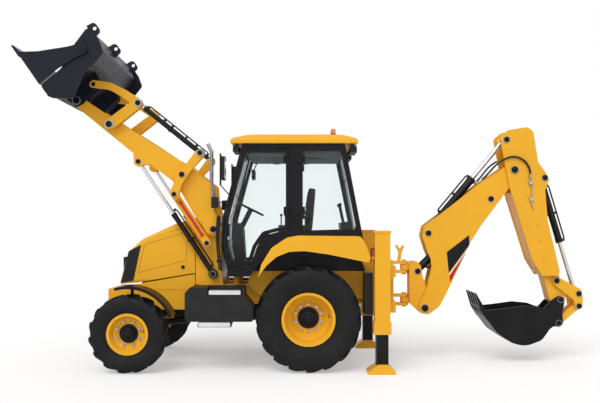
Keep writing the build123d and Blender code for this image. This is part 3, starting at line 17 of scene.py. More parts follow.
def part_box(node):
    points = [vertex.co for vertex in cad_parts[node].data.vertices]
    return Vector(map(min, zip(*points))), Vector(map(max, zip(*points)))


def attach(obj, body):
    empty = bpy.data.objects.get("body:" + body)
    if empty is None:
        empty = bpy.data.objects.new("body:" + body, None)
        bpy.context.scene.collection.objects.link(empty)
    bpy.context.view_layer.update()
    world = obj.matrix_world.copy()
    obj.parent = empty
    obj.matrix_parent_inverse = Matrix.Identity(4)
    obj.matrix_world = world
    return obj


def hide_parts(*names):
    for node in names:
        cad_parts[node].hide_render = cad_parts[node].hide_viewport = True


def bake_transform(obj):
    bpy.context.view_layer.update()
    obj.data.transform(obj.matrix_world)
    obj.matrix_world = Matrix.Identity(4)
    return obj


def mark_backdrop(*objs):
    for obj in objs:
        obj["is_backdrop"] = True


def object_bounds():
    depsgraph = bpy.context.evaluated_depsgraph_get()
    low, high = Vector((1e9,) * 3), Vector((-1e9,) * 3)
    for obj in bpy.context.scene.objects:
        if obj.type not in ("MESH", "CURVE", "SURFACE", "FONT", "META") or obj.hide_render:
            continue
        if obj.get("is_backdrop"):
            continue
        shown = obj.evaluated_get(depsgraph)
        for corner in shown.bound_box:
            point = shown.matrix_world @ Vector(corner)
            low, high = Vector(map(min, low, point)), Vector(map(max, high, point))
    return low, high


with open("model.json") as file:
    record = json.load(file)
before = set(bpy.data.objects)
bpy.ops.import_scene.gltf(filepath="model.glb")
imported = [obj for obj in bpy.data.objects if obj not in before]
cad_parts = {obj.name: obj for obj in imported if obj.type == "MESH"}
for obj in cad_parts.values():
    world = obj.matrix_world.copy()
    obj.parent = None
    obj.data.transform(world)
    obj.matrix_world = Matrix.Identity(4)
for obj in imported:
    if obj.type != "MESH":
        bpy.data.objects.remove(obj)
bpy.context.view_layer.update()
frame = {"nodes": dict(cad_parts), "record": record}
nodes = frame["nodes"]
SIDES = (("left", -1), ("right", 1))  # the photograph shows the left side, at -Y
print("nodes", len(nodes))


def add_object(name, data):
    """An object that holds the data, linked to the scene."""
    made = bpy.data.objects.new(name, data)
    bpy.context.collection.objects.link(made)
    return made



# %% [markdown]
# ## Camera
#
# The photograph looks straight at the machine's left side from about ten metres, with the horizon a little
# below the picture's middle. A level camera with a vertical shift keeps upright lines upright.

# %% Camera
IMAGE_WIDTH = 600
FOCAL_PIXELS = 730
SENSOR_WIDTH = 36
HORIZON_BELOW_MIDDLE = 24.5  # in pixels of the photograph
CAMERA_PLACE = (-0.171, -10.1, 1.836)

camera_data = bpy.data.cameras.new("camera")
camera_data.sensor_width = SENSOR_WIDTH
camera_data.lens = FOCAL_PIXELS / IMAGE_WIDTH * SENSOR_WIDTH
camera_data.shift_y = HORIZON_BELOW_MIDDLE / IMAGE_WIDTH
camera = add_object("camera", camera_data)
camera.location = CAMERA_PLACE
camera.rotation_euler = (math.radians(90), 0, 0)
bpy.context.scene.camera = camera
bpy.context.scene.view_settings.view_transform = "Standard"

# %% [markdown]
# ## Node helpers
#
# A material is a small network. These helpers add a node with its settings and join sockets, so that each
# finish below reads as a list of what feeds what.


# %% Node helpers
def add_node(tree, kind, settings=None, **inputs):
    """Adds a node, sets its properties and its unlinked inputs by name."""
    node = tree.nodes.new(kind)
    for key, value in (settings or {}).items():
        setattr(node, key, value)
    for key, value in inputs.items():
        node.inputs[key.replace("_", " ")].default_value = value
    return node


def object_point(tree):
    """The surface point in the piece's own coordinates, which are the machine's."""
    return add_node(tree, "ShaderNodeTexCoord").outputs["Object"]


def noise(tree, scale, detail):
    """Noise over the object's point."""
    texture = add_node(tree, "ShaderNodeTexNoise", Scale=scale, Detail=detail)
    tree.links.new(object_point(tree), texture.inputs["Vector"])
    return texture.outputs["Fac"]


def ramp(tree, value, low, high, to_low=0.0, to_high=1.0):
    """Maps a value's range to another, held at its ends."""
    node = add_node(tree, "ShaderNodeMapRange", {"clamp": True}, From_Min=low, From_Max=high,
                    To_Min=to_low, To_Max=to_high)
    tree.links.new(value, node.inputs["Value"])
    return node.outputs["Result"]


def math_node(tree, operation, first, second):
    """Two values or sockets combined."""
    node = add_node(tree, "ShaderNodeMath", {"operation": operation})
    for index, value in enumerate((first, second)):
        if isinstance(value, (int, float)):
            node.inputs[index].default_value = value
        else:
            tree.links.new(value, node.inputs[index])
    return node.outputs[0]


def mix_colour(tree, factor, first, second, blend="MIX"):
    """Two colours or sockets mixed by a factor socket or number."""
    node = add_node(tree, "ShaderNodeMix", {"data_type": "RGBA", "blend_type": blend})
    for index, value in ((0, factor), (6, first), (7, second)):
        if isinstance(value, (int, float)):
            node.inputs[index].default_value = value
        elif isinstance(value, tuple):
            node.inputs[index].default_value = (*value[:3], 1.0)
        else:
            tree.links.new(value, node.inputs[index])
    return node.outputs[2]


# %% [markdown]
# ## Shared effects as node groups
#
# Dust settles low on a machine that stands outdoors, and paint is never one even colour. Both belong to
# many materials, so each is a group with named inputs, built once and placed with its own values.


# %% Effect groups
def effect_group(name, inputs, outputs):
    """An empty shader group with its sockets and its two end nodes."""
    group = bpy.data.node_groups.new(name, "ShaderNodeTree")
    for label, kind, default in inputs:
        socket = group.interface.new_socket(label, in_out="INPUT", socket_type=kind)
        socket.default_value = default
    for label, kind in outputs:
        group.interface.new_socket(label, in_out="OUTPUT", socket_type=kind)
    return group, group.nodes.new("NodeGroupInput"), group.nodes.new("NodeGroupOutput")


COLOUR = "NodeSocketColor"
VALUE = "NodeSocketFloat"
DUST_COLOUR = (0.42, 0.36, 0.27)
DUST_TOP = 1.5  # height in metres above which hardly any road dust lies


def build_dust_group():
    """Paint colour in, paint with soft mottling and road dust out, and the dust as a mask."""
    group, start, end = effect_group(
        "road_dust",
        [("Paint", COLOUR, (0.8, 0.5, 0.1, 1)), ("Dust", COLOUR, (*DUST_COLOUR, 1)), ("Amount", VALUE, 0.3),
         ("Mottle", VALUE, 0.1)],
        [("Colour", COLOUR), ("Mask", VALUE)])
    split = add_node(group, "ShaderNodeSeparateXYZ")
    group.links.new(object_point(group), split.inputs[0])
    low = ramp(group, split.outputs["Z"], 0.0, DUST_TOP, 1.0, 0.08)
    patches = ramp(group, noise(group, 5.0, 6.0), 0.42, 0.72)
    mask = math_node(group, "MULTIPLY", math_node(group, "MULTIPLY", low, patches), start.outputs["Amount"])
    cloud = ramp(group, noise(group, 2.3, 4.0), 0.3, 0.7, -1.0, 1.0)
    shade = math_node(group, "ADD", math_node(group, "MULTIPLY", cloud, start.outputs["Mottle"]), 1.0)
    mottled = mix_colour(group, 1.0, start.outputs["Paint"], shade, "MULTIPLY")
    group.links.new(mix_colour(group, mask, mottled, start.outputs["Dust"]), end.inputs["Colour"])
    group.links.new(mask, end.inputs["Mask"])
    return group


def build_grain_group():
    """Height of a fine grain and a slow ripple, for orange peel, mould grain and cast skin."""
    group, start, end = effect_group(
        "surface_grain", [("Fine", VALUE, 400.0), ("Coarse", VALUE, 30.0), ("Ripple", VALUE, 0.5)],
        [("Height", VALUE)])
    heights = []
    for label in ("Fine", "Coarse"):
        texture = add_node(group, "ShaderNodeTexNoise", Detail=2.0)
        group.links.new(object_point(group), texture.inputs["Vector"])
        group.links.new(start.outputs[label], texture.inputs["Scale"])
        heights.append(texture.outputs["Fac"])
    slow = math_node(group, "MULTIPLY", heights[1], start.outputs["Ripple"])
    group.links.new(math_node(group, "ADD", heights[0], slow), end.inputs["Height"])
    return group


dust_group = build_dust_group()
grain_group = build_grain_group()
print("effects", dust_group.name, grain_group.name)

# %% [markdown]
# ## A finish from named values
#
# Paint, rubber, plastic and metal differ in colour, gloss, grain and how much dust they hold. One function
# builds such a finish: the dust group feeds the colour, the dust mask dulls the gloss, and the grain group
# gives the bump.


# %% Finish builder
def finish(name, paint, rough=0.4, metallic=0.0, coat=0.0, dust=0.3, mottle=0.06, grain=(400.0, 30.0, 0.5),
           bump=0.1, depth=0.0006, rough_spread=0.12, specular=0.5):
    """A Principled finish that varies over the surface; grain is fine scale, coarse scale and ripple."""
    material = bpy.data.materials.new(name)
    material.use_nodes = True
    tree = material.node_tree
    shader = tree.nodes["Principled BSDF"]
    shader.inputs["Metallic"].default_value = metallic
    shader.inputs["Coat Weight"].default_value = coat
    shader.inputs["Coat Roughness"].default_value = 0.12
    shader.inputs["Specular IOR Level"].default_value = specular
    dusty = add_node(tree, "ShaderNodeGroup", {"node_tree": dust_group}, Paint=(*paint, 1),
                     Dust=(*DUST_COLOUR, 1), Amount=dust, Mottle=mottle)
    tree.links.new(dusty.outputs["Colour"], shader.inputs["Base Color"])
    uneven = ramp(tree, noise(tree, 9.0, 5.0), 0.3, 0.7, rough - rough_spread / 2, rough + rough_spread / 2)
    dulled = math_node(tree, "MULTIPLY", dusty.outputs["Mask"], 0.5)
    tree.links.new(math_node(tree, "ADD", uneven, dulled), shader.inputs["Roughness"])
    skin = add_node(tree, "ShaderNodeGroup", {"node_tree": grain_group}, Fine=grain[0], Coarse=grain[1],
                    Ripple=grain[2])
    relief = add_node(tree, "ShaderNodeBump", Strength=bump, Distance=depth)
    tree.links.new(skin.outputs["Height"], relief.inputs["Height"])
    tree.links.new(relief.outputs["Normal"], shader.inputs["Normal"])
    return material


YELLOW = (0.93, 0.465, 0.022)
NEAR_BLACK = (0.008, 0.008, 0.01)
finishes = {
    "yellow_paint": finish("yellow paint", YELLOW, 0.38, coat=0.04, dust=0.04, mottle=0.03, bump=0.06,
                           specular=0.18),
    "rim_yellow": finish("rim paint", YELLOW, 0.42, coat=0.04, dust=0.08, mottle=0.04, specular=0.2),
    "black_paint": finish("black paint", NEAR_BLACK, 0.34, coat=0.03, dust=0.02, bump=0.08, specular=0.12),
    "bucket_blue_black": finish("bucket paint", (0.010, 0.012, 0.021), 0.4, coat=0.04, dust=0.02, mottle=0.25,
                                bump=0.12, specular=0.15),
    "cylinder_black": finish("cylinder paint", (0.006, 0.006, 0.007), 0.26, coat=0.1, dust=0.02,
                             specular=0.15),
    "chrome_rod": finish("chromed rod", (0.56, 0.57, 0.6), 0.16, 1.0, dust=0.02, mottle=0.03,
                         grain=(900.0, 60.0, 0.2), bump=0.03, rough_spread=0.05),
    "pin_steel": finish("turned steel", (0.36, 0.36, 0.38), 0.36, 1.0, dust=0.05, grain=(1200.0, 80.0, 0.3)),
    "grey_casting": finish("cast iron", (0.05, 0.05, 0.053), 0.6, dust=0.1, grain=(260.0, 40.0, 1.0),
                           bump=0.35, depth=0.001, specular=0.3),
    "black_plastic": finish("moulded black", (0.01, 0.01, 0.011), 0.48, dust=0.04, grain=(700.0, 90.0, 0.4),
                            bump=0.25, specular=0.25),
    "tyre_rubber": finish("tyre rubber", (0.008, 0.008, 0.009), 0.62, dust=0.015, mottle=0.2,
                          grain=(320.0, 25.0, 1.2), bump=0.3, depth=0.0012, specular=0.2),
    "seat_cloth": finish("seat cloth", (0.02, 0.021, 0.024), 0.9, dust=0.0, grain=(900.0, 500.0, 1.0),
                         bump=0.6, depth=0.0008, specular=0.2),
}


def window_glass():
    """Clear safety glass with a slight cool tint and a faint film of dust."""
    material = bpy.data.materials.new("window glass")
    material.use_nodes = True
    tree = material.node_tree
    shader = tree.nodes["Principled BSDF"]
    shader.inputs["Transmission Weight"].default_value = 1.0
    shader.inputs["IOR"].default_value = 1.2
    film = ramp(tree, noise(tree, 3.0, 6.0), 0.45, 0.8, 0.0, 0.06)
    tree.links.new(film, shader.inputs["Roughness"])
    tint = mix_colour(tree, film, (0.9, 0.94, 0.945), (0.8, 0.8, 0.77))
    tree.links.new(tint, shader.inputs["Base Color"])
    return material


finishes["window_glass"] = window_glass()
print("finishes", len(finishes))

# %% [markdown]
# ## Dress the solids
#
# The record gives each node a material slot. A node keeps its mesh, and only the material in its slot
# changes.

# %% Dress the solids
for part in frame["record"]["subparts"]:
    node_object = nodes[part["node"]]
    node_object.data.materials.clear()
    node_object.data.materials.append(finishes[part["material_slot"]])

# %% [markdown]
# ## Making a piece
#
# Every new piece ends the same way: its bmesh becomes a mesh at the origin, it gets its finish, looked up by
# slot name unless one is given, and it rides on the body that carries it.


# %% Piece helpers
def make_piece(name, shape, slot_name, body, material=None, smooth=True, bevel=0.0, replaced=()):
    """Turns a bmesh into a finished piece that rides on a body."""
    mesh = bpy.data.meshes.new(name)
    bmesh.ops.recalc_face_normals(shape, faces=shape.faces)
    shape.to_mesh(mesh)
    shape.free()
    piece = add_object(name, mesh)
    mesh.materials.append(material or finishes[slot_name])
    if bevel:
        edge_round = piece.modifiers.new("edge round", "BEVEL")
        edge_round.width = bevel
        edge_round.segments = 2
        edge_round.limit_method = "ANGLE"
    if smooth:
        mesh.shade_smooth()
        mesh.set_sharp_from_angle(angle=math.radians(35))
    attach(piece, body)
    if replaced:
        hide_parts(*replaced)
    return piece


def turned_about_y(profile, centre, steps):
    """A closed outline of (radius, y) spun about the Y axis through centre, as a new shape."""
    shape = bmesh.new()
    ring = [shape.verts.new((centre[0] + radius, centre[1] + y, centre[2])) for radius, y in profile]
    edges = [shape.edges.new((ring[i], ring[(i + 1) % len(ring)])) for i in range(len(ring))]
    bmesh.ops.spin(shape, geom=ring + edges, cent=centre, axis=(0, 1, 0), angle=math.tau, steps=steps,
                   use_merge=True)
    return shape


def add_disc(shape, centre, radius, depth, segments=32, axis="Y", top=None):
    """A capped cylinder or cone added to a shape, standing along an axis; top is its far radius."""
    turn = {"Y": Matrix.Rotation(math.radians(90), 4, "X"), "X": Matrix.Rotation(math.radians(90), 4, "Y"),
            "Z": Matrix.Identity(4)}[axis]
    bmesh.ops.create_cone(shape, cap_ends=True, segments=segments, radius1=radius,
                          radius2=radius if top is None else top, depth=depth,
                          matrix=Matrix.Translation(centre) @ turn)


def add_discs(shape, spot, side, rows):
    """Discs on a side face; each row is its distance off the face, radius, depth and segments."""
    for off, radius, depth, segments in rows:
        add_disc(shape, (spot[0], spot[1] + side * off, spot[2]), radius, depth, segments)


def add_box(shape, first, second):
    """A box between any two opposite corners added to a shape."""
    size = [abs(b - a) for a, b in zip(first, second)]
    middle = [(a + b) / 2 for a, b in zip(first, second)]
    bmesh.ops.create_cube(shape, size=1.0, matrix=Matrix.Translation(middle) @ Matrix.Diagonal((*size, 1.0)))


def add_turned_box(shape, place, direction, size):
    """A box centred on a place, with its own Z along a direction."""
    turn = direction.to_track_quat("Z", "Y").to_matrix().to_4x4()
    bmesh.ops.create_cube(shape, size=1.0,
                          matrix=Matrix.Translation(place) @ turn @ Matrix.Diagonal((*size, 1.0)))


def add_rod(shape, start, end, radius):
    """A round rod between two points added to a shape."""
    start, end = Vector(start), Vector(end)
    turn = (end - start).to_track_quat("Z", "Y").to_matrix().to_4x4()
    bmesh.ops.create_cone(shape, cap_ends=True, segments=16, radius1=radius, radius2=radius,
                          depth=(end - start).length, matrix=Matrix.Translation((start + end) / 2) @ turn)


def round_pipe(name, points, radius, slot_name, body, material=None):
    """A pipe or hose along a smooth line through given control points."""
    curve = bpy.data.curves.new(name, "CURVE")
    curve.dimensions = "3D"
    curve.bevel_depth = radius
    curve.bevel_resolution = 4
    curve.resolution_u = 10
    curve.use_fill_caps = True
    line = curve.splines.new("NURBS")
    line.points.add(len(points) - 1)
    for control, point in zip(line.points, points):
        control.co = (*point, 1.0)
    line.order_u = 3
    line.use_endpoint_u = True
    curve.materials.append(material or finishes[slot_name])
    piece = add_object(name, curve)
    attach(piece, body)
    return piece


# %% [markdown]
# ## Tyres
#
# The machine stands on industrial tractor tyres: heavy bars that run from the middle of the tread over the
# shoulder, in two staggered rows. The carcass is a closed outline spun about the axle. Each bar is a cube
# cut into lengths, and every slice is moved onto the tread's curve, so the bar wraps the shoulder.


# %% Tyres
# Metres; bars counts one of the two rows
REAR_TYRE = dict(radius=0.667, width=0.43, rim=0.337, bars=18, bar_width=0.062, bar_height=0.038)
FRONT_TYRE = dict(radius=0.49, width=0.318, rim=0.26, bars=15, bar_width=0.046, bar_height=0.028)
TYRE_STEPS = 96
BAR_SLICES = 7
BAR_SWEEP = 0.95  # how far a bar's outer end lags its inner end, in parts of the half width
WRAP_FROM = 0.72  # share of a bar's length at which it turns down over the shoulder


def carcass_outline(radius, width, rim, base):
    """Closed tyre outline as (radius, distance outwards); base is the tread's floor between the bars."""
    half = width / 2
    bead = rim - 0.0275
    right = [(bead, half * 0.62), (rim + 0.003, half * 0.66), (rim + 0.02, half * 0.8),
             (rim + (radius - rim) * 0.3, half * 0.93), (rim + (radius - rim) * 0.5, half * 0.97),
             (rim + (radius - rim) * 0.66, half * 0.95), (base - 0.03, half * 0.9),
             (base - 0.006, half * 0.8), (base, half * 0.45)]
    return right + [(r, -y) for r, y in reversed(right)]


def add_bar(shape, centre, turn, outward, tyre, base):
    """One slanted tread bar, wrapped over the shoulder."""
    half = tyre["width"] / 2
    first = len(shape.verts)
    made = bmesh.ops.create_cube(shape, size=1.0)["verts"]
    lengthways = [e for e in {e for v in made for e in v.link_edges}
                  if abs(e.verts[0].co.y - e.verts[1].co.y) > 0.5]
    bmesh.ops.subdivide_edges(shape, edges=lengthways, cuts=BAR_SLICES, use_grid_fill=True)
    shape.verts.ensure_lookup_table()
    for vert in shape.verts[first:]:
        share = vert.co.y + 0.5
        top = vert.co.z > 0
        wrap = max(0.0, (share - WRAP_FROM) / (1 - WRAP_FROM))
        y = half * (0.04 + 0.95 * min(share, 0.86) + 0.02 * wrap)
        surface = base - 0.1 * tyre["bar_height"] * share - wrap ** 1.5 * 3.0 * tyre["bar_height"]
        radius = surface + (tyre["bar_height"] * (1 - 0.35 * wrap) if top else -0.02)
        width = tyre["bar_width"] * (0.8 if top else 1.15) * (1 + 0.25 * share)
        along = vert.co.x * width + BAR_SWEEP * half * (share - 0.5)
        angle = turn + along / radius
        if top:
            y += 0.02 * wrap
        vert.co = (centre[0] + radius * math.sin(angle), centre[1] + outward * y,
                   centre[2] + radius * math.cos(angle))


def build_tyre(name, centre, tyre, body, node):
    """A treaded tyre that stands in for the solid one."""
    base = tyre["radius"] - tyre["bar_height"] - 0.001
    outline = carcass_outline(tyre["radius"], tyre["width"], tyre["rim"], base)
    shape = turned_about_y(outline, centre, TYRE_STEPS)
    pitch = math.tau / tyre["bars"]
    for outward in (-1, 1):
        for k in range(tyre["bars"]):
            add_bar(shape, centre, pitch * (k + 0.25 * outward), outward, tyre, base)
    return make_piece(name, shape, "tyre_rubber", body, replaced=(node,), bevel=0.004)


for end, tyre in (("rear", REAR_TYRE), ("front", FRONT_TYRE)):
    for side_name, side in SIDES:
        node = f"tyre_{end}_{side_name}"
        low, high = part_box(node)
        build_tyre(f"treaded_{node}", (low + high) / 2, tyre, f"wheel_{end}_{side_name}", node)

# %% [markdown]
# ## Measuring the solids
#
# Small pieces have to sit exactly on the solids. Instead of copying numbers, a ray is shot at a node and the
# piece is put where it lands. Pivots are given as (x, z) in millimetres from the rear axle, as the source
# gives them.

# %% Measuring helpers
AXLE_X = -0.065
ARM_PIVOT = (-1241, 1794)
LIFT_BASE = (-1247, 1207)
LIFT_EYE = (-2226, 2682)
BUCKET_PIVOT = (-3029, 3475)
CRANK_PIVOT = (-1639, 2505)
CRANK_TOP = (-1403, 2784)
CRANK_FOOT = (-1740, 2249)
TOWER_LINK_PIN = (-1316, 1614)
LEVER_PIVOT = (-2582, 3157)
LEVER_TOP = (-2207, 3432)
BOOM_PIVOT = (1596, 717)
BOOM_CYL_BASE = (1503, 1217)
BOOM_CYL_EYE = (2496, 2205)
CROWD_BASE = (1645, 1738)
CROWD_EYE = (2701, 3010)
DIPPER_PIVOT = (2809, 2600)
DIG_CYL_BASE = (3220, 2492)
ROCKER_PIVOT = (3390, 1092)
DIG_PIVOT = (3451, 832)
ROCKER_ROD_PIN = (3692, 914)
ROCKER_LINK_PIN = (3695, 746)
HITCH_PIN = (3425, 512)


def at(pivot, y=0.0):
    """A pivot as a point of the frame, in metres."""
    return Vector((pivot[0] / 1000 + AXLE_X, y, pivot[1] / 1000))


def meets(name, start, direction):
    """Where a ray meets a node, or None."""
    hit, spot = nodes[name].ray_cast(Vector(start), Vector(direction))[:2]
    return spot if hit else None


def outer_y(x, z, side, names):
    """The y at which a sight line from one side first meets any of the nodes."""
    spots = [meets(name, (x, side * 3.0, z), (0, -side, 0)) for name in names]
    reach = [spot.y * side for spot in spots if spot]
    return side * max(reach) if reach else None


def on_face(pivot, side, names):
    """A pivot moved onto the outermost side face of the nodes."""
    spot = at(pivot)
    spot.y = outer_y(spot.x, spot.z, side, names)
    return spot


def recolour(node_name, slot_name, chosen):
    """Gives the faces of a node whose centre passes a test another finish."""
    mesh = nodes[node_name].data
    mesh.materials.append(finishes[slot_name])
    for face in mesh.polygons:
        if chosen(face.center):
            face.material_index = len(mesh.materials) - 1


def cut_sheet(name, corners, y0, y1, slot_name, body, material=None, bevel=0.002):
    """A plate from (x, z) corners in millimetres from the rear axle, between two y planes."""
    shape = bmesh.new()
    face = shape.faces.new([shape.verts.new(at(corner, y0)) for corner in corners])
    grown = bmesh.ops.extrude_face_region(shape, geom=[face])
    moved = [g for g in grown["geom"] if isinstance(g, bmesh.types.BMVert)]
    bmesh.ops.translate(shape, vec=(0, y1 - y0, 0), verts=moved)
    return make_piece(name, shape, slot_name, body, material, smooth=False, bevel=bevel)


# %% [markdown]
# ## Wheel hubs, nuts and valves
#
# The hub centres are black castings with a domed cover, ringed by steel wheel nuts on washers. The rest of
# the wheel is yellow, so the hub's own faces are picked by their distance from the axle.

# %% Wheel fittings
# Hub radius, bolt circle, nut count and the valve's distance from the axle, in metres
HUBS = {"rear": (0.138, 0.172, 10, 0.255), "front": (0.118, 0.152, 8, 0.19)}
NUT = 0.0145
NUT_ROWS = [(0.002, NUT * 1.35, 0.004, 20), (0.013, NUT, 0.020, 6), (0.026, NUT * 0.5, 0.012, 14)]
VALVE_ROWS = [(0.02, 0.005, 0.05, 12), (0.004, 0.011, 0.008, 12), (0.046, 0.0065, 0.012, 12)]
VALVE_UP = 0.03
COVER_BOLTS = 6


def around(axle, radius, turn):
    """The x and z of a point on a circle round an axle."""
    return axle.x + radius * math.cos(turn), axle.z + radius * math.sin(turn)


for end, (hub, circle, count, valve_at) in HUBS.items():
    for side_name, side in SIDES:
        wheel_name = f"wheel_{end}_{side_name}"
        low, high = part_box(wheel_name)
        axle = (low + high) / 2
        recolour(wheel_name, "black_paint",
                 lambda spot: math.hypot(spot.x - axle.x, spot.z - axle.z) < hub + 0.001)
        nuts = bmesh.new()
        for k in range(count):
            x, z = around(axle, circle, math.tau * (k + 0.5) / count)
            add_discs(nuts, (x, outer_y(x, z, side, [wheel_name]), z), side, NUT_ROWS)
        make_piece(f"wheel_nuts_{end}_{side_name}", nuts, "pin_steel", wheel_name)
        cover = bmesh.new()
        face_y = outer_y(axle.x + hub * 0.3, axle.z, side, [wheel_name])
        outline = [(0.0, 0.0), (hub * 0.66, 0.0), (hub * 0.66, 0.012), (hub * 0.6, 0.02), (hub * 0.42, 0.024),
                   (hub * 0.36, 0.036), (0.0, 0.04)]
        ring = [cover.verts.new((axle.x + r, face_y + side * y, axle.z)) for r, y in outline]
        edges = [cover.edges.new(ring[i:i + 2]) for i in range(len(ring) - 1)]
        bmesh.ops.spin(cover, geom=ring + edges, cent=axle, axis=(0, 1, 0), angle=math.tau, steps=48,
                       use_merge=True)
        bmesh.ops.remove_doubles(cover, verts=cover.verts, dist=0.0001)
        for k in range(COVER_BOLTS):
            x, z = around(axle, hub * 0.52, math.tau * k / COVER_BOLTS)
            add_disc(cover, (x, face_y + side * 0.026, z), 0.007, 0.012, 6)
        make_piece(f"hub_cover_{end}_{side_name}", cover, "black_paint", wheel_name)
        x, z = axle.x + valve_at, axle.z + VALVE_UP
        valve = bmesh.new()
        add_discs(valve, (x, outer_y(x, z, side, [wheel_name]), z), side, VALVE_ROWS)
        make_piece(f"valve_{end}_{side_name}", valve, "black_plastic", wheel_name)

# %% [markdown]
# ## Stabilizer pads and other two-colour solids
#
# The inner legs are black and their pads yellow. Both are one solid, so the pad's faces are picked by
# height. The exhaust's upper pipe is bare steel, and the backhoe's rocker and push link are painted yellow.

# %% Two-colour solids
PAD_TOP = 0.13  # height of the pad's upper face in metres
PIPE_FOOT = 2.2  # height above which the exhaust is bare
for linkage in ("rocker", "push_link"):
    nodes[linkage].data.materials[0] = finishes["yellow_paint"]
recolour("exhaust", "pin_steel", lambda spot: spot.z > PIPE_FOOT)
for side_name, side in SIDES:
    recolour(f"stabilizer_leg_{side_name}", "yellow_paint", lambda spot: spot.z < PAD_TOP)

# %% [markdown]
# ## Pin caps
#
# Every pivot of the loader and the backhoe ends in a turned cap inside a bright ring. The cap has two bolts
# and a grease nipple. One function makes the set, and a ray finds the face that it sits on. The cap rides on
# the body whose plate carries the pin.

# %% Pin caps
def pin_head(name, pivot, radius, side, carrier, body):
    """Cap and bright ring of one pin, seated on the carrier's outer face."""
    spot = at(pivot)
    seat_y = outer_y(spot.x + radius * 0.55, spot.z, side, carrier)
    centre_y = outer_y(spot.x, spot.z, side, carrier)
    if centre_y is not None:
        seat_y = side * max(side * seat_y, side * centre_y)
    cap = bmesh.new()
    add_disc(cap, (spot.x, seat_y + side * 0.004, spot.z), radius * 0.8, 0.008, 32)
    for shift in (1, -1):
        add_disc(cap, (spot.x + shift * radius * 0.5, seat_y + side * 0.011, spot.z), radius * 0.16, 0.008, 6)
    add_disc(cap, (spot.x, seat_y + side * 0.011, spot.z), radius * 0.12, 0.008, 10)
    make_piece(f"{name}_cap", cap, "black_paint", body)
    outline = [(0.84, 0.0), (0.99, 0.0), (0.99, 0.005), (0.96, 0.008), (0.87, 0.008), (0.84, 0.005)]
    ring = turned_about_y([(radius * share, side * y) for share, y in outline], (spot.x, seat_y, spot.z), 40)
    make_piece(f"{name}_ring", ring, "pin_steel", body)


# Name, pivot, cap radius, nodes that the cap sits on, body
LOADER_PINS = [
    ("arm_pin", ARM_PIVOT, 0.05, ["frame", "loader_arms"], "root"),
    ("lift_foot_pin", LIFT_BASE, 0.042, ["frame", "lift_barrels"], "root"),
    ("lift_eye_pin", LIFT_EYE, 0.036, ["loader_arms"], "loader_arms"),
    ("crank_pin", CRANK_PIVOT, 0.042, ["bell_cranks", "loader_arms"], "loader_arms"),
    ("crank_foot_pin", CRANK_FOOT, 0.036, ["bell_cranks"], "bell_cranks"),
    ("tilt_foot_pin", CRANK_TOP, 0.04, ["tilt_pins", "bell_cranks"], "bell_cranks"),
    ("tower_link_pin", TOWER_LINK_PIN, 0.036, ["frame"], "root"),
    ("lever_pin", LEVER_PIVOT, 0.05, ["lever_pins"], "lever_pins"),
    ("link_pin", LEVER_TOP, 0.042, ["link_pins"], "link_pins"),
    ("bucket_pin", BUCKET_PIVOT, 0.05, ["bucket_pins"], "bucket_pins"),
]
BACKHOE_PINS = [
    ("boom_pin", BOOM_PIVOT, 0.055, ["swing_post", "boom"], "swing_post"),
    ("boom_cylinder_pin", BOOM_CYL_BASE, 0.045, ["swing_post"], "swing_post"),
    ("boom_rod_pin", BOOM_CYL_EYE, 0.045, ["boom"], "boom"),
    ("crowd_foot_pin", CROWD_BASE, 0.045, ["boom"], "boom"),
    ("crowd_rod_pin", CROWD_EYE, 0.045, ["dipper"], "dipper"),
    ("dipper_pin", DIPPER_PIVOT, 0.055, ["dipper", "boom"], "dipper"),
    ("dig_foot_pin", DIG_CYL_BASE, 0.045, ["dipper"], "dipper"),
    ("rocker_pin", ROCKER_PIVOT, 0.045, ["rocker", "dipper"], "rocker"),
    ("dig_pin", DIG_PIVOT, 0.045, ["dipper", "dig_bucket"], "dipper"),
    ("rocker_rod_pin", ROCKER_ROD_PIN, 0.042, ["rocker"], "rocker"),
    ("rocker_link_pin", ROCKER_LINK_PIN, 0.042, ["rocker", "push_link"], "rocker"),
    ("hitch_pin", HITCH_PIN, 0.045, ["dig_bucket"], "dig_bucket"),
]
for name, pivot, radius, carrier, body in LOADER_PINS + BACKHOE_PINS:
    for side_name, side in SIDES:
        pin_head(f"{name}_{side_name}", pivot, radius, side, carrier, body)

# %% [markdown]
# ## Seat
#
# A seat cushion is foam under cloth: crowned on top, pulled in between its corners and sewn in channels. A
# finely divided cube is pushed into that form, which is quicker than a cloth simulation and always ends the
# same. The base, the slides and the armrests are rigid, so they are modelled again beside the cushions.

# %% Seat
SEAT_X = -0.255  # the swivel's axis
CUSHION_CUTS = 23
SIDE_SEAM = 0.72  # share of the half width at which the channels end
SEAT_BOXES = [  # opposite corners, with x from the swivel
    ((-0.19, -0.2, 1.6), (0.22, 0.2, 1.655)), ((0.17, -0.19, 1.64), (0.225, 0.19, 1.80))]
ARMREST_BOXES = [  # the same for one armrest and its bracket, with y outwards
    ((-0.118, 0.262, 1.932), (0.238, 0.313, 1.973)), ((0.217, 0.2, 1.94), (0.234, 0.27, 1.965))]


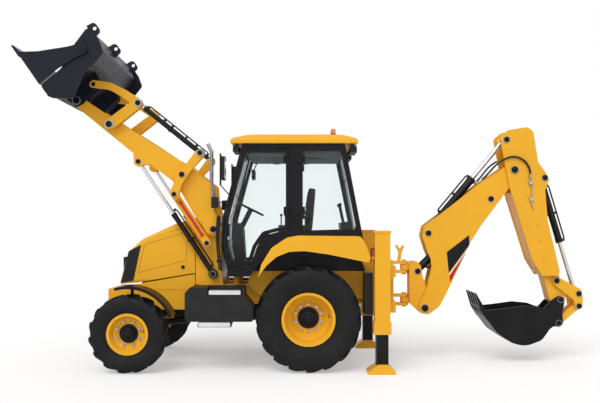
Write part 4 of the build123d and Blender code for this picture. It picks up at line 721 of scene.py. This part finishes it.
def cushion(name, centre, size, lean, channels, top_axis, replaced=()):
    """A crowned pad: size along x, y and z, channels sewn across the face that top_axis names.

    Each corner of the divided cube has u and v over the pad's face and w through it, all from -1 to 1.
    """
    shape = bmesh.new()
    bmesh.ops.create_cube(shape, size=2.0)
    bmesh.ops.subdivide_edges(shape, edges=shape.edges[:], cuts=CUSHION_CUTS, use_grid_fill=True)
    across, up = (0, 2) if top_axis == 2 else (2, 0)
    for vert in shape.verts:
        u, v, w = vert.co[across], vert.co[1], vert.co[up]
        corner = 1 - 0.10 * (u * u) ** 2 * (v * v) ** 2
        pull = 1 - 0.035 * (1 - v * v)
        edge = 1 - 0.20 * max(abs(u), abs(v)) ** 8
        crown = 0.30 * (1 - u * u) * (1 - v * v) if w * (1 if top_axis == 2 else -1) > 0 else 0.0
        channel = 0.16 * math.exp(-(math.sin(math.pi * u * channels / 2) / 0.16) ** 2)
        long_seam = 0.10 * math.exp(-((abs(v) - SIDE_SEAM) / 0.03) ** 2)
        sewn = (channel if abs(v) < SIDE_SEAM and abs(u) < 0.86 else 0.0) + long_seam
        height = w * edge * (0.78 + crown) - math.copysign(sewn * abs(w) ** 4, w)
        vert.co[across] = u * corner * pull
        vert.co[1] = v * corner * (1 - 0.03 * (1 - u * u)) * (1 - 0.05 * w * w)
        vert.co[up] = height
    matrix = (Matrix.Translation(centre) @ Matrix.Rotation(math.radians(lean), 4, "Y")
              @ Matrix.Diagonal((size[0] / 2, size[1] / 2, size[2] / 2, 1.0)))
    bmesh.ops.transform(shape, matrix=matrix, verts=shape.verts)
    bmesh.ops.smooth_vert(shape, verts=shape.verts, factor=0.4, use_axis_x=True, use_axis_y=True,
                          use_axis_z=True)
    pad = make_piece(name, shape, "seat_cloth", "seat", replaced=replaced)


cushion("seat_cushion", (SEAT_X - 0.02, 0, 1.712), (0.50, 0.50, 0.13), -3, 4, 2, replaced=("seat",))
cushion("seat_back", (SEAT_X + 0.225, 0, 2.06), (0.13, 0.47, 0.60), 5, 5, 0)
rigid = bmesh.new()
add_disc(rigid, (SEAT_X, 0, 1.58), 0.165, 0.038, 48, "Z")
for first, second in SEAT_BOXES:
    add_box(rigid, (SEAT_X + first[0], *first[1:]), (SEAT_X + second[0], *second[1:]))
for side_name, side in SIDES:
    for (x0, y0, z0), (x1, y1, z1) in ARMREST_BOXES:
        add_box(rigid, (SEAT_X + x0, side * y0, z0), (SEAT_X + x1, side * y1, z1))
make_piece("seat_frame", rigid, "black_plastic", "seat", bevel=0.006)

# %% [markdown]
# ## Stripe on the boom
#
# A dark field with a bright line and a red wedge crosses the boom. It is a thin film on each side plate,
# cut as polygons and left blank. Each film ends less than two millimetres off the plate.

# %% Boom stripe
stripe_red = finish("stripe red", (0.6, 0.008, 0.012), 0.4, dust=0.02, specular=0.15)
stripe_white = finish("stripe white", (0.8, 0.8, 0.78), 0.4, dust=0.02, specular=0.2)
FILM = 0.0012
FILM_GAP = 0.0002
STRIPES = [
    ("dark", [(2197, 1712), (1894, 1480), (1922, 1195), (2204, 1578)], None),
    ("line", [(2196, 1560), (1924, 1188), (1926, 1160), (2180, 1520)], stripe_white),
    ("red", [(2160, 1480), (1929, 1150), (1944, 1070), (1990, 1165)], stripe_red),
]
for side_name, side in SIDES:
    low_y = outer_y(at((2050, 1420)).x, 1.42, side, ["boom"]) + side * FILM_GAP
    for label, corners, paint in STRIPES:
        cut_sheet(f"boom_stripe_{label}_{side_name}", corners, low_y, low_y + side * FILM, "black_paint",
                  "boom", paint, bevel=0.0)

# %% [markdown]
# ## Steps, beacon, lenses and mirrors
#
# Metal treads with raised bars lie on the steps, so that a boot grips. Lenses and mirror glass are thin
# pieces set on the lamp boxes, each with its own finish.

# %% Steps and lamps
tread_metal = finish("bare tread", (0.62, 0.63, 0.64), 0.38, 1.0, dust=0.2, grain=(500.0, 60.0, 0.5),
                     bump=0.2)
# Step name, x from and to, y from and to outwards, and the height of the step's top
STEPS = (("upper", -1.317, -0.902, 0.86, 1.008, 1.025), ("lower", -1.445, -1.03, 0.87, 1.022, 0.626))
TREAD_BARS = 14
for side_name, side in SIDES:
    for level, x0, x1, y0, y1, top in STEPS:
        tread = bmesh.new()
        add_box(tread, (x0 + 0.01, side * y0, top + 0.0004), (x1 - 0.01, side * y1, top + 0.005))
        for k in range(TREAD_BARS):
            x = x0 + 0.03 + (x1 - x0 - 0.06) * k / (TREAD_BARS - 1)
            add_box(tread, (x - 0.006, side * (y0 + 0.012), top + 0.004),
                    (x + 0.006, side * (y1 - 0.012), top + 0.011))
        add_box(tread, (x0 + 0.01, side * y1, top - 0.045), (x1 - 0.01, side * (y1 + 0.004), top + 0.005))
        make_piece(f"step_tread_{level}_{side_name}", tread, "pin_steel", "root", tread_metal, bevel=0.0012)

lens_amber = finish("amber lens", (0.9, 0.22, 0.01), 0.2, coat=0.5, dust=0.05)
lens_clear = finish("clear lens", (0.75, 0.77, 0.8), 0.12, coat=0.6, dust=0.05)
lens_red = finish("red lens", (0.5, 0.01, 0.01), 0.2, coat=0.5, dust=0.05)
mirror_face = finish("mirror face", (0.75, 0.78, 0.8), 0.04, 1.0, dust=0.02, bump=0.0, rough_spread=0.02)
BEACON_X, BEACON_Y, BEACON_Z = 0.275, -0.25, 3.076
LAMPS = ["lamps_and_mirrors"]
WORK_LAMPS = (("front", -1.035, 2.8325, -1), ("rear", 0.56, 2.825, 1))  # end, x, z and the way it faces
WORK_LAMPS_Y = (0.38, 0.62)
MIRROR_Y = (0.712, 0.858)
MIRROR_Z = (2.435, 2.705)
SIDE_LENSES = ((1.41, 1.46, lens_amber), (1.465, 1.55, lens_red))  # heights from and to, and the finish
SIDE_LENS_X = (0.721, 0.751)

beacon = bmesh.new()
add_disc(beacon, (BEACON_X, BEACON_Y, BEACON_Z + 0.03), 0.036, 0.055, 40, "Z", top=0.033)
add_disc(beacon, (BEACON_X, BEACON_Y, BEACON_Z + 0.064), 0.033, 0.014, 40, "Z", top=0.022)
make_piece("beacon_lens", beacon, "black_plastic", "root", lens_amber, bevel=0.002)
for side_name, side in SIDES:
    for end, x, z, facing in WORK_LAMPS:
        for k, y in enumerate(WORK_LAMPS_Y):
            lamp_x = meets(LAMPS[0], (x + facing * 0.6, side * y, z), (-facing, 0, 0)).x
            lens = bmesh.new()
            add_disc(lens, (lamp_x + facing * 0.003, side * y, z), 0.034, 0.006, 32, "X")
            add_disc(lens, (lamp_x + facing * 0.007, side * y, z), 0.027, 0.008, 32, "X")
            make_piece(f"work_lens_{end}_{k}_{side_name}", lens, "black_plastic", "root", lens_clear,
                       bevel=0.001)
    glass = bmesh.new()
    mirror_x = meets(LAMPS[0], (-0.6, side * 0.79, 2.5), (-1, 0, 0)).x
    for near, far, inset in ((0.0004, 0.004, 0.0), (0.0035, 0.0055, 0.008)):
        add_box(glass, (mirror_x + near, side * (MIRROR_Y[0] + inset), MIRROR_Z[0] + inset),
                (mirror_x + far, side * (MIRROR_Y[1] - inset), MIRROR_Z[1] - inset))
    make_piece(f"mirror_face_{side_name}", glass, "pin_steel", "root", mirror_face, bevel=0.001)
    lens_y = outer_y(0.736, 1.48, side, LAMPS)
    for k, (z0, z1, paint) in enumerate(SIDE_LENSES):
        lens = bmesh.new()
        for near, far, inset in ((0.0003, 0.006, 0.0), (0.005, 0.009, 0.005)):
            add_box(lens, (SIDE_LENS_X[0] + inset, lens_y + side * near, z0 + inset),
                    (SIDE_LENS_X[1] - inset, lens_y + side * far, z1 - inset))
        make_piece(f"side_lens_{k}_{side_name}", lens, "black_plastic", "root", paint, bevel=0.002)

# %% [markdown]
# ## Pipes on the cylinders
#
# Oil reaches the far end of a cylinder through a steel pipe along its barrel, held by a clamp. Each pipe
# leaves a port, runs beside the barrel and bends into the gland's port. It rides on its own barrel.

# %% Cylinder pipes
PORT = 0.034  # edge of a port block
BEND = 0.06  # straight length that a pipe's bend takes at each end


def beside(base, eye, distance, offset, y):
    """A point a distance along the line from one pivot to another, and an offset to one side of it."""
    run = (at(eye, y) - at(base, y)).normalized()
    return at(base, y) + run * distance + Vector((-run.z, 0, run.x)) * offset


def barrel_pipe(name, base, eye, y, barrel_radius, start, stop, sign, body, radius=0.009):
    """Pipe, two port blocks and a clamp beside a barrel; start and stop are distances from the base."""
    port, clear, half_way = barrel_radius * 0.9, barrel_radius + 0.028, (start + stop) / 2
    route = [(start, port), (start, clear), (start + BEND, clear), (half_way, clear), (stop - BEND, clear),
             (stop, clear), (stop, port)]
    round_pipe(name, [beside(base, eye, distance, sign * offset, y) for distance, offset in route], radius,
               "cylinder_black", body)
    ports = bmesh.new()
    run = at(eye, y) - at(base, y)
    for distance in (start, stop):
        place = beside(base, eye, distance, sign * (barrel_radius + 0.006), y)
        add_turned_box(ports, place, run, (PORT, PORT, PORT))
    run.normalize()
    middle = at(base, y) + run * (start + stop) / 2
    sideways = Vector((-run.z, 0, run.x))
    band = ((-0.015, 0.0004), (0.015, 0.0004), (0.015, 0.004), (-0.015, 0.004))
    ring = [ports.verts.new(middle + run * shift + sideways * (barrel_radius + off)) for shift, off in band]
    edges = [ports.edges.new((ring[i], ring[(i + 1) % 4])) for i in range(4)]
    bmesh.ops.spin(ports, geom=ring + edges, cent=middle, axis=run, angle=math.tau, steps=40, use_merge=True)
    place = beside(base, eye, half_way, sign * (barrel_radius + 0.018), y)
    add_turned_box(ports, place, at(eye, y) - at(base, y), (PORT, PORT, 0.03))
    make_piece(f"{name}_ports", ports, "cylinder_black", body, bevel=0.002)


for side_name, side in SIDES:
    barrel_pipe(f"lift_pipe_{side_name}", LIFT_BASE, LIFT_EYE, side * 0.49, 0.038, 0.1, 0.98, -1,
                "lift_barrels")
    barrel_pipe(f"tilt_pipe_{side_name}", CRANK_TOP, LEVER_TOP, side * 0.584, 0.036, 0.1, 0.9, -1,
                "tilt_barrels")
barrel_pipe("boom_pipe", BOOM_CYL_BASE, BOOM_CYL_EYE, 0.0, 0.058, 0.14, 1.2, -1, "boom_barrel", 0.011)
barrel_pipe("crowd_pipe", CROWD_BASE, CROWD_EYE, 0.0, 0.058, 0.34, 0.97, 1, "crowd_barrel", 0.011)
barrel_pipe("dig_pipe", DIG_CYL_BASE, ROCKER_ROD_PIN, 0.0, 0.05, 0.12, 0.9, 1, "dig_barrel", 0.011)

# %% [markdown]
# ## Hoses
#
# Where a pipe has to cross a joint it becomes a rubber hose with slack for the motion. Each hose follows a
# short list of control points from one fitting to the next. A hose is made a fixed mesh that rides on no
# body; its two ferrules ride on the bodies at its ends.

# %% Hoses
HOSE = 0.026  # outside diameter of the backhoe's hoses
rubber = finish("hose rubber", (0.008, 0.008, 0.009), 0.45, dust=0.03, grain=(900.0, 60.0, 0.3), specular=0.3)


def spline_points(piece):
    """The smooth line of a curve piece, sampled, and its length."""
    bare = piece.data.copy()
    bare.bevel_depth = 0.0
    probe = bpy.data.objects.new("probe", bare)
    mesh = bpy.data.meshes.new_from_object(probe)
    points = [vert.co.copy() for vert in mesh.vertices]
    bpy.data.objects.remove(probe)
    bpy.data.meshes.remove(mesh)
    bpy.data.curves.remove(bare)
    length = sum((points[i + 1] - points[i]).length for i in range(len(points) - 1))
    return points, length


def crimp(name, place, following, body):
    """The steel ferrule and nut at a hose's end, as a piece; following is the hose's next point."""
    towards = (following - place).normalized()
    turn = towards.to_track_quat("Z", "Y").to_matrix().to_4x4()
    shape = bmesh.new()
    for distance, width, depth, segments in ((0.022, 1.25, 0.044, 24), (-0.006, 1.5, 0.02, 6)):
        bmesh.ops.create_cone(shape, cap_ends=True, segments=segments, radius1=HOSE / 2 * width,
                              radius2=HOSE / 2 * width, depth=depth,
                              matrix=Matrix.Translation(place + towards * distance) @ turn)
    make_piece(name, shape, "pin_steel", body)


def hose(name, route, first, second):
    """A fixed hose mesh with ferrules; one ferrule rides on each of the two bodies."""
    curve = round_pipe(f"{name}_line", route, HOSE / 2, "black_plastic", first, rubber)
    points, length = spline_points(curve)
    mesh = bpy.data.meshes.new_from_object(curve)
    bpy.data.objects.remove(curve)
    mesh.name = name
    piece = add_object(name, mesh)
    mesh.shade_smooth()
    crimp(f"{name}_fitting_a", points[0], points[1], first)
    crimp(f"{name}_fitting_b", points[-1], points[-2], second)
    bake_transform(piece)
    print(name, "length", round(length, 3))


# (x, y, z) in millimetres from the rear axle, y outwards: over the joint of boom and dipper, then down it
OVER_JOINT = [(2340, 137, 2440), (2390, 142, 2480), (2452, 165, 2545), (2540, 198, 2655), (2660, 206, 2745),
              (2800, 206, 2785), (2930, 206, 2735), (3000, 204, 2640), (3018, 202, 2560), (3019, 202, 2500)]
DOWN_DIPPER = [(3019, 202, 2500), (3022, 200, 2440), (3046, 196, 2340), (3030, 196, 2180), (3040, 196, 2110),
               (3073, 186, 2057)]
DIPPER_CLAMPS = ((3027, 2420), (3034, 2200))


def route_of(points, side):
    """Listed points on one side of the machine, as points of the frame."""
    return [at((x, z), side * y / 1000) for x, y, z in points]


for side_name, side in SIDES:
    hose(f"dipper_hose_{side_name}", route_of(OVER_JOINT, side), "boom", "dipper")
    round_pipe(f"dipper_pipe_{side_name}", route_of(DOWN_DIPPER, side), 0.009, "pin_steel", "dipper")
    clamps = bmesh.new()
    for clamp in DIPPER_CLAMPS:
        x, z = at(clamp).x, clamp[1] / 1000
        add_box(clamps, (x - 0.03, side * 0.184, z - 0.022), (x + 0.03, side * 0.212, z + 0.022))
    make_piece(f"dipper_clamps_{side_name}", clamps, "pin_steel", "dipper", bevel=0.003)

# %% [markdown]
# ## Wheel wells
#
# Above and behind the rear wheels the real machine closes the body with a side sheet and a dark liner under
# the fender. Both are plates cut from a polygon and given a thickness, well clear of the tyre.

# %% Wheel wells
WELL_SHEET = [(-800, 1062), (-760, 1240), (700, 1240), (810, 1000), (810, 870), (-560, 870), (-700, 960)]
WELL_LINER = [(-780, 1242), (-700, 1436), (690, 1436), (760, 1242)]
WELL_Y = (0.44, 0.446)
WELL_PLATES = (("sheet", WELL_SHEET, "yellow_paint"), ("liner", WELL_LINER, "black_plastic"))
for side_name, side in SIDES:
    for name, corners, slot_name in WELL_PLATES:
        cut_sheet(f"well_{name}_{side_name}", corners, side * WELL_Y[0], side * WELL_Y[1], slot_name, "root")

# %% [markdown]
# ## Painted crease shade and latch on the bonnet
#
# The bonnet's side is one sheet with a pressed panel. Thin dark strips are painted shade along the panel's
# edge and along the fold above it, where the sheet bends. They stand less than a millimetre proud, so that
# they read as lines at any distance.

# %% Bonnet details
# Width, sinking and standing of the dark strips that paint the shade of the bonnet's creases
CREASE_SHADE_WIDTH = 0.004
CREASE_SHADE_SUNK = 0.0006
CREASE_SHADE_PROUD = 0.0009
HOOD_PRESSING = [(-2170, 1590), (-1600, 1760), (-1620, 1380), (-2260, 1215), (-2170, 1590)]
HOOD_FOLD = [(-2200, 1640), (-1790, 1770), (-1540, 1838)]
HOOD_LATCH = (-1660, 1290)


def crease_shade_strip(name, corners, side, node):
    """A flat dark strip of painted shade along (x, z) corners that lies on the outer face of a node and rides
    with it.
    """
    shape = bmesh.new()
    for start, end in zip(corners, corners[1:]):
        a, b = on_face(start, side, [node]), on_face(end, side, [node])
        run = (b - a).normalized()
        across = Vector((-run.z, 0, run.x)) * CREASE_SHADE_WIDTH / 2
        base = [a - across, b - across, b + across, a + across]
        low = [shape.verts.new(p - Vector((0, side * CREASE_SHADE_SUNK, 0))) for p in base]
        top = [shape.verts.new(p + Vector((0, side * CREASE_SHADE_PROUD, 0))) for p in base]
        shape.faces.new(low)
        shape.faces.new(top)
        for i in range(4):
            shape.faces.new([low[i], low[(i + 1) % 4], top[(i + 1) % 4], top[i]])
    make_piece(name, shape, "black_plastic", node, smooth=False)


def face_box(shape, spot, side, reach, wide, high, shift=0.0):
    """A box on a side face round a spot: off the face from and to, half width, half height, shift up."""
    add_box(shape, (spot.x - wide, spot.y + side * reach[0], spot.z + shift - high),
            (spot.x + wide, spot.y + side * reach[1], spot.z + shift + high))


for side_name, side in SIDES:
    # Painted shade along the pressing's edge and along the fold
    crease_shade_strip(f"hood_pressing_shade_{side_name}", HOOD_PRESSING, side, "hood")
    crease_shade_strip(f"hood_fold_shade_{side_name}", HOOD_FOLD, side, "hood")
    latch = bmesh.new()
    spot = on_face(HOOD_LATCH, side, ["hood"])
    add_discs(latch, spot, side, [(0.003, 0.026, 0.006, 32)])
    face_box(latch, spot, side, (0, 0.01), 0.006, 0.018)
    make_piece(f"hood_latch_{side_name}", latch, "black_plastic", "hood", bevel=0.001)

# %% [markdown]
# ## Linkage strut, dipper plugs and door fittings
#
# Each levelling link carries a red safety strut that a mechanic props the arm with. The dipper has grease
# plugs in its side, and the doors have handles and hinges.

# %% Small fittings
strut_red = finish("strut red", (0.55, 0.02, 0.02), 0.4, dust=0.1)
STRUT_END = 0.13  # how far the strut's end plates stand from the link's pins
PLUGS = [(3121, 1854), (3164, 1647), (3221, 1413), (2985, 1830), (2960, 2260)]
DOOR_HANDLE = (-1040, 2000)
DOOR_HINGES = (("upper", 2696), ("lower", 2034))
HINGE_HALF = 0.05  # half a hinge's height
HINGE_THICK = 0.014
HINGE_BOLT = (0.018, 0.009, 0.01, 6)
PLATE_BOLTS = ((-65, -0.03), (-65, 0.03), (-120, 0.0))  # x in millimetres and the shift up in metres
for side_name, side in SIDES:
    strut = bmesh.new()
    low_end, high_end = at(TOWER_LINK_PIN, side * 0.6), at(CRANK_FOOT, side * 0.6)
    run = high_end - low_end
    middle = (low_end + high_end) / 2
    middle.y = outer_y(middle.x, middle.z, side, ["levelling_links"]) + side * 0.003
    add_turned_box(strut, middle, run, (0.006, 0.034, run.length - 0.24))
    for end in (-1, 1):
        place = middle + run.normalized() * end * (run.length / 2 - STRUT_END)
        add_discs(strut, place, side, [(0.002, 0.024, 0.01, 24), (0.01, 0.01, 0.008, 6)])
    make_piece(f"red_strut_{side_name}", strut, "black_paint", "levelling_links", strut_red, bevel=0.001)
    plugs = bmesh.new()
    for plug in PLUGS:
        add_discs(plugs, on_face(plug, side, ["dipper"]), side, [(0.003, 0.022, 0.006, 24),
                                                                 (0.008, 0.012, 0.006, 6)])
    make_piece(f"dipper_plugs_{side_name}", plugs, "yellow_paint", "dipper", bevel=0.001)
    door = f"door_{side_name}"
    handle = bmesh.new()
    spot = on_face(DOOR_HANDLE, side, [door])
    face_box(handle, spot, side, (0, 0.008), 0.022, 0.07)
    face_box(handle, spot, side, (0.024, 0.036), 0.01, 0.055)
    for shift in (-0.045, 0.045):
        face_box(handle, spot, side, (0, 0.028), 0.008, 0.01, shift)
    make_piece(f"door_handle_{side_name}", handle, "black_plastic", door, bevel=0.003)
    for level, z in DOOR_HINGES:
        hinge = bmesh.new()
        spot = on_face((-262, z), side, [door])
        add_box(hinge, (spot.x - 0.055, spot.y, spot.z - HINGE_HALF),
                (spot.x - 0.002, spot.y + side * HINGE_THICK, spot.z + HINGE_HALF))
        for shift in (-0.03, 0.03):
            add_discs(hinge, (spot.x - 0.036, spot.y, spot.z + shift), side, [HINGE_BOLT])
        make_piece(f"door_hinge_{level}_{side_name}", hinge, "black_paint", door, bevel=0.004)
        plate = bmesh.new()
        cab_y = on_face((-130, z), side, ["cab"]).y
        add_box(plate, (at((-225, z)).x, cab_y, spot.z - HINGE_HALF),
                (at((-42, z)).x, cab_y + side * HINGE_THICK, spot.z + HINGE_HALF))
        for x, shift in PLATE_BOLTS:
            add_discs(plate, (at((x, z)).x, cab_y, spot.z + shift), side, [HINGE_BOLT])
        make_piece(f"hinge_plate_{level}_{side_name}", plate, "black_paint", "root", bevel=0.004)

# %% [markdown]
# ## Headliner, sill sheets and pipe bundle
#
# A moulding lines the roof inside, a yellow sheet closes the engine's side below the bonnet, and a bundle of
# clamped pipes climbs between the cab and the loader's tower.

# %% Cab lining, sills and pipe bundle
liner_grey = finish("headliner grey", (0.13, 0.155, 0.17), 0.8, dust=0.0, grain=(600.0, 200.0, 0.6), bump=0.3,
                    specular=0.2)
liner = bmesh.new()
add_box(liner, (-0.86, -0.60, 2.745), (0.38, 0.60, 2.845))
add_box(liner, (-0.62, -0.30, 2.722), (0.12, 0.30, 2.75))
for x in (-0.5, -0.1):
    for y in (-0.2, 0.2):
        add_disc(liner, (x, y, 2.716), 0.05, 0.02, 32, "Z")
make_piece("headliner", liner, "seat_cloth", "root", liner_grey, bevel=0.04)
SILL = [(-2322, 990), (-2322, 1056), (-1596, 1184), (-1503, 1196), (-1503, 990)]
BUNDLE = [(-1128, 1250), (-1134, 1330), (-1150, 1450), (-1162, 1600), (-1164, 1760), (-1158, 1880),
          (-1150, 1950)]
BUNDLE_PIPES = ((0, 0.60), (-24, 0.628), (2, 0.655))  # each pipe's shift along x in millimetres, and its y
STRAP_HEIGHTS = (1.38, 1.86)
for side_name, side in SIDES:
    cut_sheet(f"sill_{side_name}", SILL, side * 0.3806, side * 0.3866, "yellow_paint", "root")
    for k, (shift, y) in enumerate(BUNDLE_PIPES):
        line = [at((x + shift, z + 12 * k), side * y) for x, z in BUNDLE]
        round_pipe(f"pipe_bundle_{k}_{side_name}", line, 0.011, "black_plastic", "root", rubber)
    straps = bmesh.new()
    for z in STRAP_HEIGHTS:
        add_box(straps, (-1.252, side * 0.58, z - 0.014), (-1.19, side * 0.676, z + 0.014))
    make_piece(f"bundle_straps_{side_name}", straps, "black_plastic", "root", bevel=0.003)

# %% [markdown]
# ## Wipers, inside mirror and boom lock
#
# A wiper parks low on each end window: an arm from its spindle and a blade with its clips. The boom lock is
# a forked hook that holds the folded boom on the road.

# %% Wipers, mirror and lock
WIPER_ROD = 0.006
BLADE_HALF = 0.26
LOCK = [(1236, 1330), (1256, 1450), (1210, 1545), (1232, 1560), (1272, 1500), (1312, 1552), (1336, 1540),
        (1300, 1450), (1284, 1330)]
LOCK_FOOT = 1330


def window_x(y, z, facing):
    """Where a level ray from in front or behind first meets the cab's glass, or None."""
    spot = meets("cab_glass", (facing * 3, y, z), (-facing, 0, 0))
    return spot.x if spot else None


def wiper(name, spindle, tip, facing):
    """Arm, blade and clips lying a little in front of a window; spindle and tip are (y, z)."""
    shape = bmesh.new()
    foot_x = window_x(*spindle, facing)
    if foot_x is None:
        foot_x = meets("cab", (facing * 3, *spindle), (-facing, 0, 0)).x
    add_disc(shape, (foot_x + facing * 0.012, *spindle), 0.022, 0.024, 24, "X")
    foot = Vector((foot_x + facing * 0.02, *spindle))
    end = Vector((window_x(*tip, facing) + facing * 0.022, *tip))
    add_rod(shape, foot, end, WIPER_ROD)
    sideways_arm = abs(end.y - foot.y) > abs(end.z - foot.z)
    blade = Vector((0, 0, BLADE_HALF)) if sideways_arm else Vector((0, BLADE_HALF, 0))
    ends = []
    for sign in (-1, 1):
        place = end + blade * sign
        glass_x = window_x(place.y, place.z, facing)
        if glass_x is None:
            glass_x = place.x - facing * 0.012
        ends.append(Vector((glass_x + facing * 0.008, place.y, place.z)))
    add_rod(shape, ends[0], ends[1], WIPER_ROD)
    for share in (0.2, 0.5, 0.8):
        x, y, z = ends[0].lerp(ends[1], share)
        add_box(shape, (x - 0.004, y - 0.012, z - 0.012), (x + 0.012, y + 0.012, z + 0.012))
    make_piece(name, shape, "black_plastic", "root")


wiper("wiper_front", (0.1, 1.98), (-0.18, 2.2), -1)
wiper("wiper_rear", (0.0, 2.74), (0.22, 2.48), 1)
inside_mirror = bmesh.new()
add_box(inside_mirror, (-0.86, 0.30, 2.50), (-0.82, 0.52, 2.64))
add_box(inside_mirror, (-0.819, 0.31, 2.51), (-0.812, 0.51, 2.63))
add_rod(inside_mirror, (-0.84, 0.41, 2.63), (-0.78, 0.41, 2.76), 0.008)
make_piece("inside_mirror", inside_mirror, "black_plastic", "root", bevel=0.008)
drop = meets("sideshift_carriage", (at((1260, 0)).x, 0, 3.0), (0, 0, -1)).z * 1000 - LOCK_FOOT
cut_sheet("boom_lock", [(x, z + drop) for x, z in LOCK], -0.012, 0.012, "yellow_paint", "sideshift_carriage",
          bevel=0.004)

# %% [markdown]
# ## Floor, world and lamps
#
# A machine this size is photographed outdoors or in a hall with light from all round. The world gives soft
# light at a plain level, a wide sun adds a soft shadow under the machine, and the floor looks white to the
# camera because part of its light comes from an emission that only rays seen directly meet.

# %% Floor, world and lamps
FLOOR_HALF = 60.0
FLOOR_GAP = 0.001  # keeps the floor just below the tyres
FLOOR_GLOW = 0.35
AMBIENT = 0.5
KEY_STRENGTH = 1.3
FILL_STRENGTH = 0.5
WHITE = (1, 1, 1, 1)


def seen_directly(tree):
    """1 for camera, mirror and glass rays, 0 for rays that light the machine."""
    path = add_node(tree, "ShaderNodeLightPath")
    seen = math_node(tree, "MAXIMUM", path.outputs["Is Camera Ray"], path.outputs["Is Glossy Ray"])
    return math_node(tree, "MAXIMUM", seen, path.outputs["Is Transmission Ray"])


def mixed_shader(tree, first, second, output):
    """The second shader for rays that are seen directly, the first for the rest."""
    mix = add_node(tree, "ShaderNodeMixShader")
    tree.links.new(seen_directly(tree), mix.inputs[0])
    tree.links.new(first.outputs[0], mix.inputs[1])
    tree.links.new(second.outputs[0], mix.inputs[2])
    tree.links.new(mix.outputs[0], output.inputs["Surface"])


world = bpy.data.worlds.new("studio")
world.use_nodes = True
sky = world.node_tree
sky.nodes.clear()
mixed_shader(sky, add_node(sky, "ShaderNodeBackground", Color=WHITE, Strength=AMBIENT),
             add_node(sky, "ShaderNodeBackground", Color=WHITE, Strength=1.0),
             add_node(sky, "ShaderNodeOutputWorld"))
bpy.context.scene.world = world

floor_paint = bpy.data.materials.new("floor")
floor_paint.use_nodes = True
tree = floor_paint.node_tree
tree.nodes.clear()
matt = add_node(tree, "ShaderNodeBsdfDiffuse", Color=(0.8, 0.8, 0.8, 1))
glow = add_node(tree, "ShaderNodeEmission", Color=WHITE, Strength=FLOOR_GLOW)
both = add_node(tree, "ShaderNodeAddShader")
tree.links.new(matt.outputs[0], both.inputs[0])
tree.links.new(glow.outputs[0], both.inputs[1])
mixed_shader(tree, matt, both, add_node(tree, "ShaderNodeOutputMaterial"))

floor_mesh = bpy.data.meshes.new("floor")
floor_shape = bmesh.new()
bmesh.ops.create_grid(floor_shape, x_segments=1, y_segments=1, size=FLOOR_HALF)
floor_shape.to_mesh(floor_mesh)
floor_shape.free()
floor_mesh.materials.append(floor_paint)
floor = add_object("floor", floor_mesh)
floor.location.z = -FLOOR_GAP


def add_sun(name, strength, place, aim, spread):
    """A sun lamp turned to face a point; spread is its width in degrees, and softens its shadows."""
    data = bpy.data.lights.new(name, "SUN")
    data.energy = strength
    data.angle = math.radians(spread)
    lamp = add_object(name, data)
    lamp.location = place
    lamp.rotation_euler = (Vector(aim) - Vector(place)).to_track_quat("-Z", "Y").to_euler()
    return lamp


sun = add_sun("soft sun", KEY_STRENGTH, (-4, -9, 12), (0, 0, 1), 40)
fill = add_sun("low fill", FILL_STRENGTH, (3, -12, 3), (0, 0, 1.2), 60)
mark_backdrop(floor, sun, fill)

# %% Close
low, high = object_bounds()
